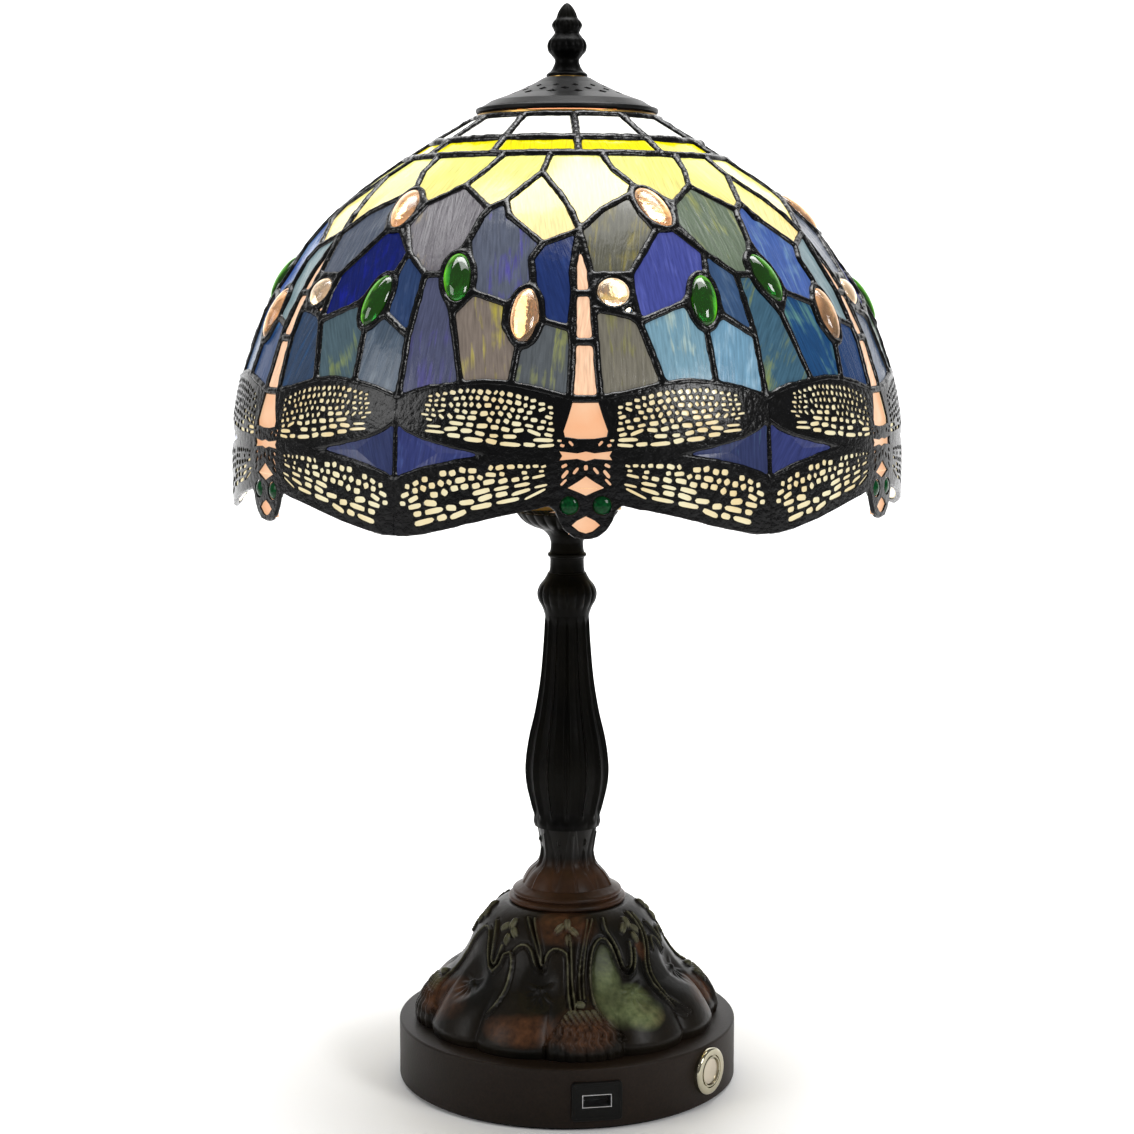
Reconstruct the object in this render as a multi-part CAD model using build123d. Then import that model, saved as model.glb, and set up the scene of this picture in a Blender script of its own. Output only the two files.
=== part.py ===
from build123d import *
import os
from math import sin, cos, radians, sqrt

# Leaded-glass table lamp: a round powered base, a cast foot and fluted stem, a lamp holder with a
# wire bow, and a domed shade of six dragonflies under a pierced cap and a screwed finial.
# Millimetres. Z is the lamp's axis, Z = 0 is the table, the socket for charging faces -Y.
# An angle THETA is measured from the front (-Y) towards +X; S is the length along the dome from its hem.

os.makedirs("parts", exist_ok=True)

# ---- driving dimensions -------------------------------------------------------------------------
SHADE_R = 152.8              # widest outside radius of the shade
SHADE_PHASE = 2.8            # how far the front dragonfly is turned from the front
DRAGONFLIES = 6
PITCH = 360 / DRAGONFLIES
HEM_Z = 260.0                # height at which the dome's length S starts
SHELL_T = 4.4                # depth of the soldered web
GLASS_T = 3.0
GLASS_DEPTH = 2.2            # from the outside of the web to the middle of the glass
LEAD = 1.25                  # half the width of a soldered seam
APERTURE_R = 42.0            # radius of the dome's top edge

BASE_R = 79.0
PAD_T = 1.5
BASE_TOP = 28.5
WALL = 2.8
COVER_T = 2.5
COVER_TOP = PAD_T + COVER_T

ROD_R = 4.9
ROD_BORE = 3.3
BORE_R = 5.3                 # clearance hole for the rod through every casting
ROD_LOW = 17.0
ROD_TOP = 276.0

COLLAR_Z = 84.0
WAIST_Z = 92.0
STEM_Z = 119.5
KNOP_Z = 219.0
NECK_Z = 238.5
CUP_Z = 252.5
CUP_TOP = 267.0

USB_THETA = 9.6
USB_Z = 13.75
BUTTON_THETA = 53.9
BUTTON_Z = 16.4
BUTTON_TRAVEL = 1.5

HOLDER_Z = 269.5             # underside of the lamp holder
HARP_X = 46.0                # half the width of the wire bow
HARP_WIRE_R = 1.6
HARP_TOP = 456.2
CAP_TOP = 462.4
FINIAL_TOP = 495.5


# ---- shared shapes ------------------------------------------------------------------------------
def ring(outer_r, inner_r, low, high):
    """A flat ring about Z from height low to height high."""
    body = Pos(0, 0, low) * extrude(Circle(outer_r) - Circle(inner_r), high - low)
    return body


def disc(radius, low, high):
    """A plain disc about Z."""
    return Pos(0, 0, low) * extrude(Circle(radius), high - low)


def turned(profile):
    """A solid of revolution from a closed outline of (radius, height) points."""
    outline = Polyline([(r, 0, z) for r, z in profile], close=True)
    return revolve(make_face(outline), axis=Axis.Z)


def smooth_casting(outside, bore):
    """A solid casting: a smooth outside through (radius, height) points, bored for the rod."""
    (r_low, z_low), (r_high, z_high) = outside[0], outside[-1]
    skin = Spline([(r, 0, z) for r, z in outside])
    rest = Polyline([(r_high, 0, z_high), (bore, 0, z_high), (bore, 0, z_low), (r_low, 0, z_low)])
    return revolve(make_face([skin, rest]), axis=Axis.Z)


def around(shape, theta):
    """Turn a shape made at the front (-Y) to the angle theta."""
    return Rot(0, 0, theta) * shape


def radial_rod(radius, inner, outer, z):
    """A cylinder along the front radius, from distance inner to distance outer."""
    middle = (inner + outer) / 2
    return Pos(0, -middle, z) * Rot(90, 0, 0) * Cylinder(radius, outer - inner)


def radial_block(width, height, inner, outer, z, corner=0.0, x=0.0):
    """A block along the front radius, with rounded long edges."""
    block = Pos(x, -(inner + outer) / 2, z) * Box(width, outer - inner, height)
    if corner:
        block = fillet(block.edges().filter_by(Axis.Y), corner)
    return block


def hexagon(across_flats, low, high):
    """A hexagonal nut blank about Z."""
    flat = RegularPolygon(across_flats / 2, 6, major_radius=False)
    return Pos(0, 0, low) * extrude(flat, high - low)


def screw_points():
    """Where the four cover screws stand, clear of the button and the charging socket."""
    return [(54 * sin(radians(t)), -54 * cos(radians(t))) for t in (-35, 88, 165, -105)]


parts = {}

# ---- powered base -------------------------------------------------------------------------------
USB_BEZEL = (22.5, 17.5)
BEZEL_CORNER = 2.5
BOSS_R = 4.0
SCREW_R = 1.5

case = disc(BASE_R, PAD_T, BASE_TOP)
case = chamfer(case.edges().group_by(Axis.Z)[-1], 1.0)
case -= disc(BASE_R - WALL, PAD_T, BASE_TOP - 3.0)
case -= disc(BORE_R, PAD_T, BASE_TOP)
for x, y in screw_points():
    case += Pos(x, y, 0) * ring(BOSS_R, SCREW_R, COVER_TOP, BASE_TOP - 3.0)
bezel_hole = radial_block(USB_BEZEL[0] - 2.4, USB_BEZEL[1] - 2.4, 70, 82, USB_Z, BEZEL_CORNER - 1.2)
case -= around(bezel_hole, USB_THETA)
case -= around(radial_rod(7.1, 68, 82, BUTTON_Z), BUTTON_THETA)
case -= radial_block(2 * BASE_R, 60, -82, -77.6, 10) & around(radial_rod(8.2, 70, 84, 14), 180)
case -= around(radial_rod(5.2, 70, 84, 14), 180)
parts["base_housing"] = case

cover = disc(BASE_R - WALL - 0.2, PAD_T, COVER_TOP)
for x, y in screw_points():
    cover -= Pos(x, y, 0) * disc(SCREW_R + 0.1, PAD_T, COVER_TOP)
    cover -= Pos(x, y, PAD_T) * extrude(Circle(3.1), 1.2)
parts["bottom_cover"] = cover

screws = []
for x, y in screw_points():
    screws.append(Pos(x, y, 0) * (disc(3.0, PAD_T, PAD_T + 1.15) + disc(SCREW_R - 0.05, PAD_T, 16.0)))
parts["cover_screws"] = Compound(children=screws)
parts["foot_pad"] = ring(BASE_R - 2.5, 60, 0, PAD_T)

ballast = ring(47.0, 14.0, COVER_TOP, 15.0)
parts["ballast_weight"] = chamfer(ballast.edges().group_by(Axis.Z)[-1], 1.0)

grommet = radial_rod(8.0, 77.7, 79.6, 14) + radial_rod(5.1, 72, 78, 14) + radial_rod(6.6, 72, 75.4, 14)
parts["cord_inlet"] = around(grommet - radial_rod(3.3, 70, 82, 14), 180)

# ---- charging socket ----------------------------------------------------------------------------
SHELL_SIZE = (13.2, 5.9)
SHELL_WALL = 0.35
SHELL_OUT = 79.4
SHELL_IN = 65.0

bezel = radial_block(*USB_BEZEL, 78.3, 80.2, USB_Z, BEZEL_CORNER)
bezel += radial_block(USB_BEZEL[0] - 2.5, USB_BEZEL[1] - 2.5, 74.0, 78.4, USB_Z, BEZEL_CORNER - 1.2)
bezel -= radial_block(SHELL_SIZE[0] + 0.1, SHELL_SIZE[1] + 0.1, 72, 82, USB_Z)
curved_back = disc(BASE_R, 0, BASE_TOP) - bezel_hole
parts["usb_bezel"] = around(bezel - curved_back, USB_THETA)

usb_shell = radial_block(*SHELL_SIZE, SHELL_IN, SHELL_OUT, USB_Z)
usb_shell -= radial_block(SHELL_SIZE[0] - 2 * SHELL_WALL, SHELL_SIZE[1] - 2 * SHELL_WALL,
                          SHELL_IN + 1.0, 82, USB_Z)
parts["usb_shell"] = around(usb_shell, USB_THETA)
parts["usb_tongue"] = around(radial_block(11.0, 1.8, SHELL_IN + 1.0, 76.5, USB_Z + 0.6), USB_THETA)

BOARD_TOP = USB_Z - SHELL_SIZE[1] / 2
board = radial_block(34, 1.6, 50.5, 73.0, BOARD_TOP - 0.8)
parts["control_board"] = around(board, USB_THETA)
chips = [
    radial_block(7, 4, 54, 61, BOARD_TOP + 2.0, x=-11),
    radial_block(5, 2, 53, 58, BOARD_TOP + 1.0, x=11),
    Pos(12, -66, BOARD_TOP + 3.5) * Cylinder(3.2, 7),
]
chips += [Pos(x, -53, 0) * disc(2.2, COVER_TOP, BOARD_TOP - 1.6) for x in (-14, 14)]
parts["board_components"] = Compound(children=[around(chip, USB_THETA) for chip in chips])

# ---- power button -------------------------------------------------------------------------------
BUTTON_R = 6.0

bezel_ring = radial_rod(10.75, 79.0 - 0.75, 81.5, BUTTON_Z) + radial_rod(7.0, 60, 80, BUTTON_Z)
bezel_ring = bezel_ring - radial_rod(BUTTON_R + 0.2, 62, 83, BUTTON_Z)
bezel_ring -= disc(BASE_R, 0, BASE_TOP) - radial_rod(7.05, 55, 82, BUTTON_Z)
parts["button_ring"] = around(bezel_ring - radial_rod(3.0, 58, 64, BUTTON_Z), BUTTON_THETA)

button = radial_rod(BUTTON_R, 74.0, 80.6, BUTTON_Z) + radial_rod(2.2, 64.5, 74.5, BUTTON_Z)
parts["button_cap"] = around(button, BUTTON_THETA)

nut = Pos(0, -72.5, BUTTON_Z) * Rot(90, 0, 0) * (
    extrude(RegularPolygon(8.7, 6, major_radius=False), 3.0, both=True) - Cylinder(7.05, 8)
)
parts["button_nut"] = around(nut, BUTTON_THETA)
parts["button_switch"] = around(radial_block(12, 12, 50.5, 59.9, BUTTON_Z, 1.0), BUTTON_THETA)

SPRING_R = 4.2
spring_turns = []
for turn in range(5):
    reach = 63.6 + 1.7 * turn
    spring_turns.append(Pos(0, -reach, BUTTON_Z) * Rot(90, 0, 0) * Torus(SPRING_R, 0.45))
parts["button_spring"] = around(Compound(children=spring_turns), BUTTON_THETA)

# ---- foot and stem castings ---------------------------------------------------------------------
FOOT_OUTSIDE = [(70.0, 34.0), (62.0, 45.0), (53.0, 54.5), (47.0, 60.5), (43.0, 68.0), (37.7, 76.6),
                (33.6, 81.6), (29.0, COLLAR_Z)]
FOOT_WALL = 4.0
EDGE_LOBES = 12

foot_skin = Spline([(r, 0, z) for r, z in FOOT_OUTSIDE])
foot_lining = Polyline([(29.0, 0, COLLAR_Z), (BORE_R, 0, COLLAR_Z), (BORE_R, 0, COLLAR_Z - 6),
                        (27.0, 0, COLLAR_Z - 6), (38.0, 0, 66.0), (42.0, 0, 58.0), (56.0, 0, 42.0),
                        (66.0, 0, 32.5), (66.0, 0, BASE_TOP), (70.5, 0, BASE_TOP), (70.0, 0, 34.0)])
foot = revolve(make_face([foot_skin, foot_lining]), axis=Axis.Z)
for lobe in range(EDGE_LOBES):
    notch = Pos(0, -73.0, 0) * disc(4.0, BASE_TOP, 48)
    foot -= around(notch, 360 / EDGE_LOBES * (lobe + 0.72))
parts["foot_casting"] = foot

parts["foot_collar"] = turned([(BORE_R, COLLAR_Z), (27.0, COLLAR_Z), (27.6, 85.4), (27.0, 86.9),
                               (25.2, 87.5), (25.7, 89.0), (24.9, 90.4), (21.5, WAIST_Z),
                               (BORE_R, WAIST_Z)])
parts["stem_waist"] = smooth_casting([(21.0, WAIST_Z), (17.6, 97.4), (13.2, 102.0), (12.2, 107.0),
                                      (12.8, 112.0), (14.4, STEM_Z)], BORE_R)
parts["stem_baluster"] = smooth_casting([(16.0, STEM_Z), (17.3, 131.0), (19.4, 140.5), (19.9, 146.0),
                                         (18.2, 159.5), (15.0, 172.0), (12.3, 188.0), (11.0, 206.0),
                                         (10.4, KNOP_Z)], BORE_R)
parts["stem_knop"] = smooth_casting([(10.6, KNOP_Z), (13.0, 225.0), (13.9, 229.0), (12.6, 233.0),
                                     (9.8, 236.5), (9.0, NECK_Z)], BORE_R)
parts["stem_neck"] = smooth_casting([(8.1, NECK_Z), (8.0, 243.5), (9.0, 247.0), (8.0, 250.5),
                                     (7.8, CUP_Z)], BORE_R)
parts["socket_cup"] = turned([(BORE_R, CUP_Z), (8.0, CUP_Z), (11.0, 258.0), (16.6, 260.0),
                              (20.2, 262.7), (24.0, CUP_TOP), (22.6, CUP_TOP), (19.0, 264.2),
                              (15.0, 262.0), (BORE_R, 260.5)])

parts["threaded_rod"] = ring(ROD_R, ROD_BORE, ROD_LOW, ROD_TOP)
rod_nuts = [hexagon(15.0, 18.0, 23.4), hexagon(14.0, 262.2, 266.2)]
parts["rod_nuts"] = Compound(children=[blank - disc(ROD_R + 0.05, 16, 268) for blank in rod_nuts])
parts["rod_washer"] = ring(12.0, ROD_R + 0.1, 23.5, BASE_TOP - 3.0)

wires = [Pos(x, 0, 0) * disc(1.2, ROD_LOW - 1.5, ROD_TOP + 3.5) for x in (-1.5, 1.5)]
parts["lamp_wires"] = Compound(children=wires)

# ---- lamp holder and bulb -----------------------------------------------------------------------
HOLDER_R = 17.0
SLEEVE_X = 20.5
HOLDER_BASE = HOLDER_Z + 11.0
HOLDER_TOP = HOLDER_BASE + 41.0
CONTACT_Z = HOLDER_BASE + 12.0
BULB_R = 30.0

saddle = Pos(0, 0, CUP_TOP + 0.6) * extrude(SlotOverall(2 * SLEEVE_X + 9, 11), 1.6)
saddle -= disc(BORE_R, 260, 280)
for side in (-1, 1):
    saddle += Pos(side * SLEEVE_X, 0, 0) * disc(2.9, CUP_TOP + 0.6, CUP_TOP + 12)
    saddle -= Pos(side * SLEEVE_X, 0, 0) * disc(HARP_WIRE_R + 0.1, CUP_TOP + 2.4, CUP_TOP + 14)
parts["harp_saddle"] = saddle

bow_half = [(SLEEVE_X, CUP_TOP + 3.0), (SLEEVE_X, 288.0), (HARP_X, 324.0), (HARP_X, 396.0),
            (17.0, HARP_TOP)]
bow_points = [(-x, 0, z) for x, z in bow_half] + [(x, 0, z) for x, z in reversed(bow_half)]
bow_path = FilletPolyline(bow_points, radius=[14, 24, 30, 16, 16, 30, 24, 14])
bow_section = Pos(-SLEEVE_X, 0, CUP_TOP + 3.0) * Circle(HARP_WIRE_R)
parts["harp"] = sweep(bow_section, path=bow_path)

PLATE_Z = HARP_TOP + HARP_WIRE_R
plate = Pos(0, 0, PLATE_Z) * extrude(SlotOverall(26, 10), 1.4) - disc(2.6, PLATE_Z - 1, PLATE_Z + 3)
parts["harp_plate"] = plate
stud = disc(7.5, PLATE_Z + 1.4, CAP_TOP - 1.2) + disc(2.5, PLATE_Z + 0.1, PLATE_Z + 2)
parts["harp_stud"] = stud + disc(3.0, PLATE_Z + 1.4, CAP_TOP + 16.0)

holder_cap = turned([(BORE_R, HOLDER_Z), (9.0, HOLDER_Z), (15.5, HOLDER_Z + 5.0),
                     (HOLDER_R, HOLDER_BASE), (HOLDER_R - 0.8, HOLDER_BASE),
                     (14.4, HOLDER_Z + 5.8), (8.4, HOLDER_Z + 1.2), (BORE_R, HOLDER_Z + 1.2)])
parts["holder_cap"] = holder_cap
parts["holder_shell"] = ring(HOLDER_R, HOLDER_R - 0.7, HOLDER_BASE, HOLDER_TOP)
parts["holder_body"] = ring(HOLDER_R - 0.8, 3.4, HOLDER_BASE + 1.0, CONTACT_Z - 1.0)
parts["holder_screw_shell"] = ring(14.6, 13.6, CONTACT_Z - 1.0, HOLDER_TOP - 4.0)
parts["holder_contact"] = disc(5.0, CONTACT_Z - 1.0, CONTACT_Z)

BASE_LOW = CONTACT_Z + 2.2
GLOBE_Z = BASE_LOW + 26.0
parts["bulb_contact"] = disc(4.5, CONTACT_Z + 0.3, BASE_LOW)
parts["bulb_base"] = turned([(0, BASE_LOW), (9.0, BASE_LOW), (13.1, BASE_LOW + 5.0),
                             (13.1, GLOBE_Z), (0, GLOBE_Z)])
globe = [(13.1, GLOBE_Z), (15.5, GLOBE_Z + 9), (24.5, GLOBE_Z + 27), (BULB_R, GLOBE_Z + 46),
         (24.5, GLOBE_Z + 64), (11.0, GLOBE_Z + 73), (0.0, GLOBE_Z + 75)]
GLOBE_WALL = 1.0
outer_line = Spline([(r, 0, z) for r, z in globe])
inner_globe = [(max(r - GLOBE_WALL * 1.2, 0), z) for r, z in globe[1:-1]]
inner_globe = [(11.5, GLOBE_Z + 1.2)] + inner_globe[:-1] + [(9.0, GLOBE_Z + 71.6), (0, GLOBE_Z + 73.8)]
inner_line = Spline([(r, 0, z) for r, z in inner_globe])
foot_of_globe = Polyline([(13.1, 0, GLOBE_Z), (0, 0, GLOBE_Z), (0, 0, GLOBE_Z + 1.2),
                          (11.5, 0, GLOBE_Z + 1.2)])
tip = Line((0, 0, GLOBE_Z + 73.8), (0, 0, GLOBE_Z + 75))
parts["bulb_glass"] = revolve(make_face([outer_line, foot_of_globe, inner_line, tip]), axis=Axis.Z)
stem = disc(3.5, GLOBE_Z + 1.2, GLOBE_Z + 20) + disc(1.6, GLOBE_Z + 19, GLOBE_Z + 56)
parts["bulb_filament"] = stem

# ---- shade: the dome's line and its flat panes -----------------------------------------------------
DOME = [(152.1, HEM_Z), (SHADE_R, 288.0), (151.7, 314.0), (147.0, 335.0), (138.5, 357.0),
        (126.0, 378.0), (108.5, 400.0), (90.0, 415.5), (68.0, 430.0), (APERTURE_R, 445.5)]
dome_line = Spline([(r, 0, z) for r, z in DOME])


def dome_point(theta, s, depth=GLASS_DEPTH):
    """The point of the dome at angle theta and length s, sunk below the outside by depth."""
    at = dome_line.position_at(s, position_mode=PositionMode.LENGTH)
    along = dome_line.tangent_at(s, position_mode=PositionMode.LENGTH)
    r = at.X - depth * along.Z
    z = at.Z + depth * along.X
    return Vector(r * sin(radians(theta)), -r * cos(radians(theta)), z)


def pane_plane(corners):
    """The mean plane of a ring of points, with its normal away from the lamp's axis."""
    centre = sum(corners, Vector(0, 0, 0)) / len(corners)
    normal = Vector(0, 0, 0)
    for here, after in zip(corners, corners[1:] + corners[:1]):
        normal += (here - centre).cross(after - centre)
    if normal.dot(Vector(centre.X, centre.Y, 60)) < 0:
        normal = normal * -1
    level = Vector(0, 0, 1).cross(normal)
    return Plane(origin=centre, x_dir=level, z_dir=normal)


def flat_outline(corners, plane, gap):
    """The corners laid in the plane and drawn in by gap on every side, with mitred corners."""
    flat = [plane.to_local_coords(corner) for corner in corners]
    points = [(p.X, p.Y) for p in flat]
    area = sum(a[0] * b[1] - a[1] * b[0] for a, b in zip(points, points[1:] + points[:1]))
    if area < 0:
        points.reverse()
    drawn_in = []
    count = len(points)
    for i in range(count):
        (xa, ya), (xb, yb), (xc, yc) = points[i - 1], points[i], points[(i + 1) % count]
        first = sqrt((xb - xa) ** 2 + (yb - ya) ** 2)
        second = sqrt((xc - xb) ** 2 + (yc - yb) ** 2)
        n1 = (-(yb - ya) / first, (xb - xa) / first)
        n2 = (-(yc - yb) / second, (xc - xb) / second)
        share = gap / (1 + n1[0] * n2[0] + n1[1] * n2[1])
        drawn_in.append((xb + share * (n1[0] + n2[0]), yb + share * (n1[1] + n2[1])))
    return drawn_in


def prism(outline, plane, low, high):
    """The outline raised from low to high along the plane's normal."""
    face = make_face(Polyline([*outline], close=True))
    return plane.offset(low) * extrude(face, high - low)


def mirrored(corners):
    return [(-theta, s) for theta, s in corners]


# Junctions of the soldered seams that several panes share, as (theta, s) from a dragonfly's axis.
TAIL_TIP = (-0.3, 142.5)
NEXT_TAIL_TIP = (59.7, 142.5)
WING_SEAM = (30.0, 66.0)
SEAM_MID = (30.1, 92.0)
SEAM_TOP = (30.2, 120.5)
P1_WING = (12.4, 72.0)
P2_WING = (21.2, 72.0)
P5_WING = (40.5, 72.0)
P6_WING = (48.5, 72.3)
PURPLE_LOW = (9.3, 98.5)
PURPLE_SIDE = (8.8, 120.5)
PURPLE_TOP = (15.8, 143.0)
PURPLE_CORNER = (19.8, 143.5)
MOSS_LOW = (24.8, 131.5)
MOSS_TOP = (30.4, 171.0)
MOSS_LEFT = (22.4, 158.5)
MOSS_RIGHT = (37.2, 137.0)
MOSS_SHOULDER = (38.6, 151.0)
PETAL_V = (39.6, 155.0)
PETAL_FORK = (43.0, 160.3)
PETAL_FOOT = (52.4, 135.5)
PETAL_TOP = (50.4, 180.0)
LEFT_PETAL_TOP = (-9.6, 180.0)
SLATE_TOP = (12.5, 164.5)
CREST = (14.2, 171.0)
BEND = (10.5, 182.0)
BLUE_LOW = (47.0, 106.5)
BLUE_SIDE = (50.4, 128.0)
TAIL_SIDE = (53.3, 99.0)
JEWEL_FOOT = (49.4, 88.5)
TIER_TOP = 195.0

SLATE_PANES = [
    [(2.3, 66.5), (1.8, 90.0), (1.7, 104.5), (8.0, 101.0), PURPLE_LOW, P1_WING, (7.5, 69.2)],
    [(1.6, 120.0), (0.5, 136.0), TAIL_TIP, (5.0, 154.5), SLATE_TOP, (13.5, 152.0), PURPLE_TOP,
     PURPLE_SIDE],
    [TAIL_SIDE, (57.8, 95.5), (58.4, 111.5), (58.5, 124.0), NEXT_TAIL_TIP, PETAL_FOOT, BLUE_SIDE,
     (51.2, 117.0)],
]
BLUE_PANES = [
    [PURPLE_LOW, (17.8, 107.0), (20.9, 94.5), P2_WING, (16.5, 73.2), P1_WING],
    [(20.9, 94.5), (24.5, 101.5), SEAM_MID, WING_SEAM, (25.5, 70.0), P2_WING],
    [(24.5, 101.5), (23.8, 122.0), MOSS_LOW, SEAM_TOP, SEAM_MID],
    [WING_SEAM, SEAM_MID, SEAM_TOP, (33.8, 120.5), (37.4, 102.0), P5_WING, (35.0, 70.2)],
    [(37.4, 102.0), (40.5, 112.0), BLUE_LOW, (46.8, 97.0), JEWEL_FOOT, P6_WING, (44.5, 73.2), P5_WING],
    [P6_WING, JEWEL_FOOT, TAIL_SIDE, (57.8, 95.5), (58.0, 88.0), (57.7, 66.5), (53.0, 70.2)],
]
VIOLET_PANES = [
    [PURPLE_LOW, (8.6, 111.0), PURPLE_SIDE, PURPLE_TOP, PURPLE_CORNER, MOSS_LOW, (23.8, 122.0),
     (17.8, 107.0)],
    [(40.5, 112.0), MOSS_RIGHT, MOSS_SHOULDER, PETAL_V, PETAL_FORK, (44.6, 151.0), PETAL_FOOT,
     BLUE_SIDE, (51.2, 117.0), BLUE_LOW],
]
MOSS_PANES = [
    [SEAM_TOP, (33.8, 120.5), MOSS_RIGHT, MOSS_SHOULDER, PETAL_V, MOSS_TOP, MOSS_LEFT, (20.8, 146.0),
     MOSS_LOW],
]
PETAL_PANES = [
    [TAIL_TIP, (-1.7, 153.0), (-4.5, 165.0), LEFT_PETAL_TOP, (-8.2, TIER_TOP), (0.3, TIER_TOP),
     (8.7, TIER_TOP), BEND, CREST, SLATE_TOP, (5.0, 154.5)],
    [(8.7, TIER_TOP), (22.5, TIER_TOP), (36.3, TIER_TOP), MOSS_TOP, MOSS_LEFT, CREST, BEND],
    [(36.3, TIER_TOP), (44.0, TIER_TOP), (51.8, TIER_TOP), PETAL_TOP, PETAL_FORK, PETAL_V, MOSS_TOP],
    [PETAL_TOP, (55.5, 165.0), (58.3, 153.0), NEXT_TAIL_TIP, PETAL_FOOT, (44.6, 151.0), PETAL_FORK],
]
BODY_PANES = [
    [(-2.6, 16.0), (-1.6, 12.8), (1.6, 12.8), (2.6, 16.0), (0.0, 20.8)],
    [(0.0, 27.2), (3.2, 31.0), (0.0, 36.6), (-3.2, 31.0)],
    [(-4.4, 41.2), (0.0, 42.4), (4.4, 41.2), (4.4, 46.4), (0.0, 45.6), (-4.4, 46.4)],
    [(-3.6, 50.4), (3.6, 50.4), (3.4, 54.0), (2.3, 66.5), (-2.3, 66.5), (-3.4, 54.0)],
    [(-2.3, 66.5), (2.3, 66.5), (1.8, 90.0), (-1.8, 90.0)],
    [(-1.8, 90.0), (1.8, 90.0), (1.6, 111.5), (-1.6, 111.5)],
    [(-1.6, 111.5), (1.6, 111.5), (1.4, 122.0), (-0.5, 139.5), (-1.9, 122.0)],
]
UPPER_WING = [
    [(4.0, 46.0), (4.0, 63.5), (8.0, 67.5), (12.4, 70.8), (16.5, 71.8), (16.5, 46.6), (10.0, 45.3)],
    [(16.5, 71.8), (21.2, 70.8), (25.5, 68.3), (29.0, 65.0), (29.4, 60.0), (28.0, 55.0), (24.0, 51.0),
     (20.0, 48.6), (16.5, 46.6)],
]
LOWER_WING = [
    [(4.6, 41.5), (12.0, 42.3), (16.5, 41.3), (16.5, 19.6), (10.0, 23.9), (6.2, 26.5), (4.6, 31.0)],
    [(16.5, 41.3), (20.0, 40.2), (25.0, 37.3), (29.5, 32.5), (29.6, 22.0), (29.6, 13.2), (25.0, 14.2),
     (20.0, 17.2), (16.5, 19.6)],
]
WING_GAP = [[(14.0, 44.3), (20.0, 46.4), (25.0, 49.3), (29.9, 54.5), (29.9, 34.5), (25.0, 39.6),
             (20.0, 42.2)]]
BOTH_SIDES = [UPPER_WING, LOWER_WING, WING_GAP]
for group in BOTH_SIDES:
    group += [mirrored(corners) for corners in list(group)]

HALF_PITCH = 30.0
BAND_LOW, BAND_HIGH = 196.6, 209.2
CROWN_LOW, CROWN_HIGH = 210.8, 231.2


def tier(low, high):
    """The two panes of a ring tier that belong to one dragonfly."""
    panes = []
    for start in (1.2, 1.2 + HALF_PITCH):
        thetas = [start, start + HALF_PITCH / 2, start + HALF_PITCH]
        panes.append([(t, low) for t in thetas] + [(t, high) for t in reversed(thetas)])
    return panes


# Cast jewels: centre theta, centre s, half width, half height, lean of the top towards +theta.
GREEN_JEWELS = [(21.6, 108.0, 5.8, 12.0, 9.0), (37.0, 119.0, 6.1, 11.8, -12.0)]
AMBER_JEWELS = [(50.2, 101.3, 5.8, 12.2, 3.0), (17.0, 156.0, 6.0, 12.2, -14.0)]
ROUND_JEWELS = [(5.3, 112.0, 6.6, 6.6, 0.0)]
EYES = [(-2.45, 24.2, 4.0, 4.0, 0.0), (2.45, 24.2, 4.0, 4.0, 0.0)]
JEWEL_T = 6.0


def jewel_plane(theta, s, lean):
    here = dome_point(theta, s)
    level = dome_point(theta + 0.5, s) - here
    up = dome_point(theta, s + 1.0) - here
    return Plane(origin=here, x_dir=level, z_dir=level.cross(up)) * Rot(0, 0, -lean)


def jewel(theta, s, half_w, half_h, lean, grow=0.0, depth=JEWEL_T):
    """An oval cabochon, or with grow and depth the seat that it needs."""
    place = jewel_plane(theta, s, lean)
    oval = Ellipse(half_w + grow, half_h + grow)
    stone = place * (Pos(0, 0, -depth / 2) * extrude(oval, depth))
    return stone


# ---- shade: glass, in one dragonfly's share of the dome, then copied round ---------------------------
glass_groups = {
    "slate_glass": SLATE_PANES, "blue_glass": BLUE_PANES + WING_GAP, "violet_glass": VIOLET_PANES,
    "moss_glass": MOSS_PANES, "petal_glass": PETAL_PANES, "band_glass": tier(BAND_LOW, BAND_HIGH),
    "crown_glass": tier(CROWN_LOW, CROWN_HIGH), "body_glass": BODY_PANES,
    "wing_glass": UPPER_WING + LOWER_WING,
}
jewel_groups = {"green_jewels": GREEN_JEWELS, "amber_jewels": AMBER_JEWELS,
                "round_jewels": ROUND_JEWELS, "dragonfly_eyes": EYES}

CUT_DEPTH = 9.0
all_jewels = GREEN_JEWELS + AMBER_JEWELS + ROUND_JEWELS
jewel_seats = [jewel(*shape, grow=2 * LEAD, depth=24.0) for shape in all_jewels]
holes = []
copies = [SHADE_PHASE + PITCH * n for n in range(DRAGONFLIES)]


def near_jewels(pane):
    """The seats that reach into a pane."""
    box = pane.bounding_box()
    return [seat for seat in jewel_seats if box.overlaps(seat.bounding_box())]


def largest(shape):
    return max(shape.solids(), key=lambda solid: solid.volume)


for name, panes in glass_groups.items():
    share = []
    for corners in panes:
        ring_points = [dome_point(theta, s) for theta, s in corners]
        plane = pane_plane(ring_points)
        outline = flat_outline(ring_points, plane, LEAD)
        pane = prism(outline, plane, -GLASS_T / 2, GLASS_T / 2)
        hole = prism(outline, plane, -CUT_DEPTH, CUT_DEPTH)
        for seat in near_jewels(pane):
            pane = pane - seat
            hole = hole - seat
        share.append(largest(pane))
        holes.append(largest(hole))
    parts[name] = Compound(children=[Rot(0, 0, turn) * pane for turn in copies for pane in share])

for name, stones in jewel_groups.items():
    share = [jewel(*shape) for shape in stones]
    holes += [jewel(*shape, depth=24.0) for shape in stones]
    parts[name] = Compound(children=[Rot(0, 0, turn) * stone for turn in copies for stone in share])


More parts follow.
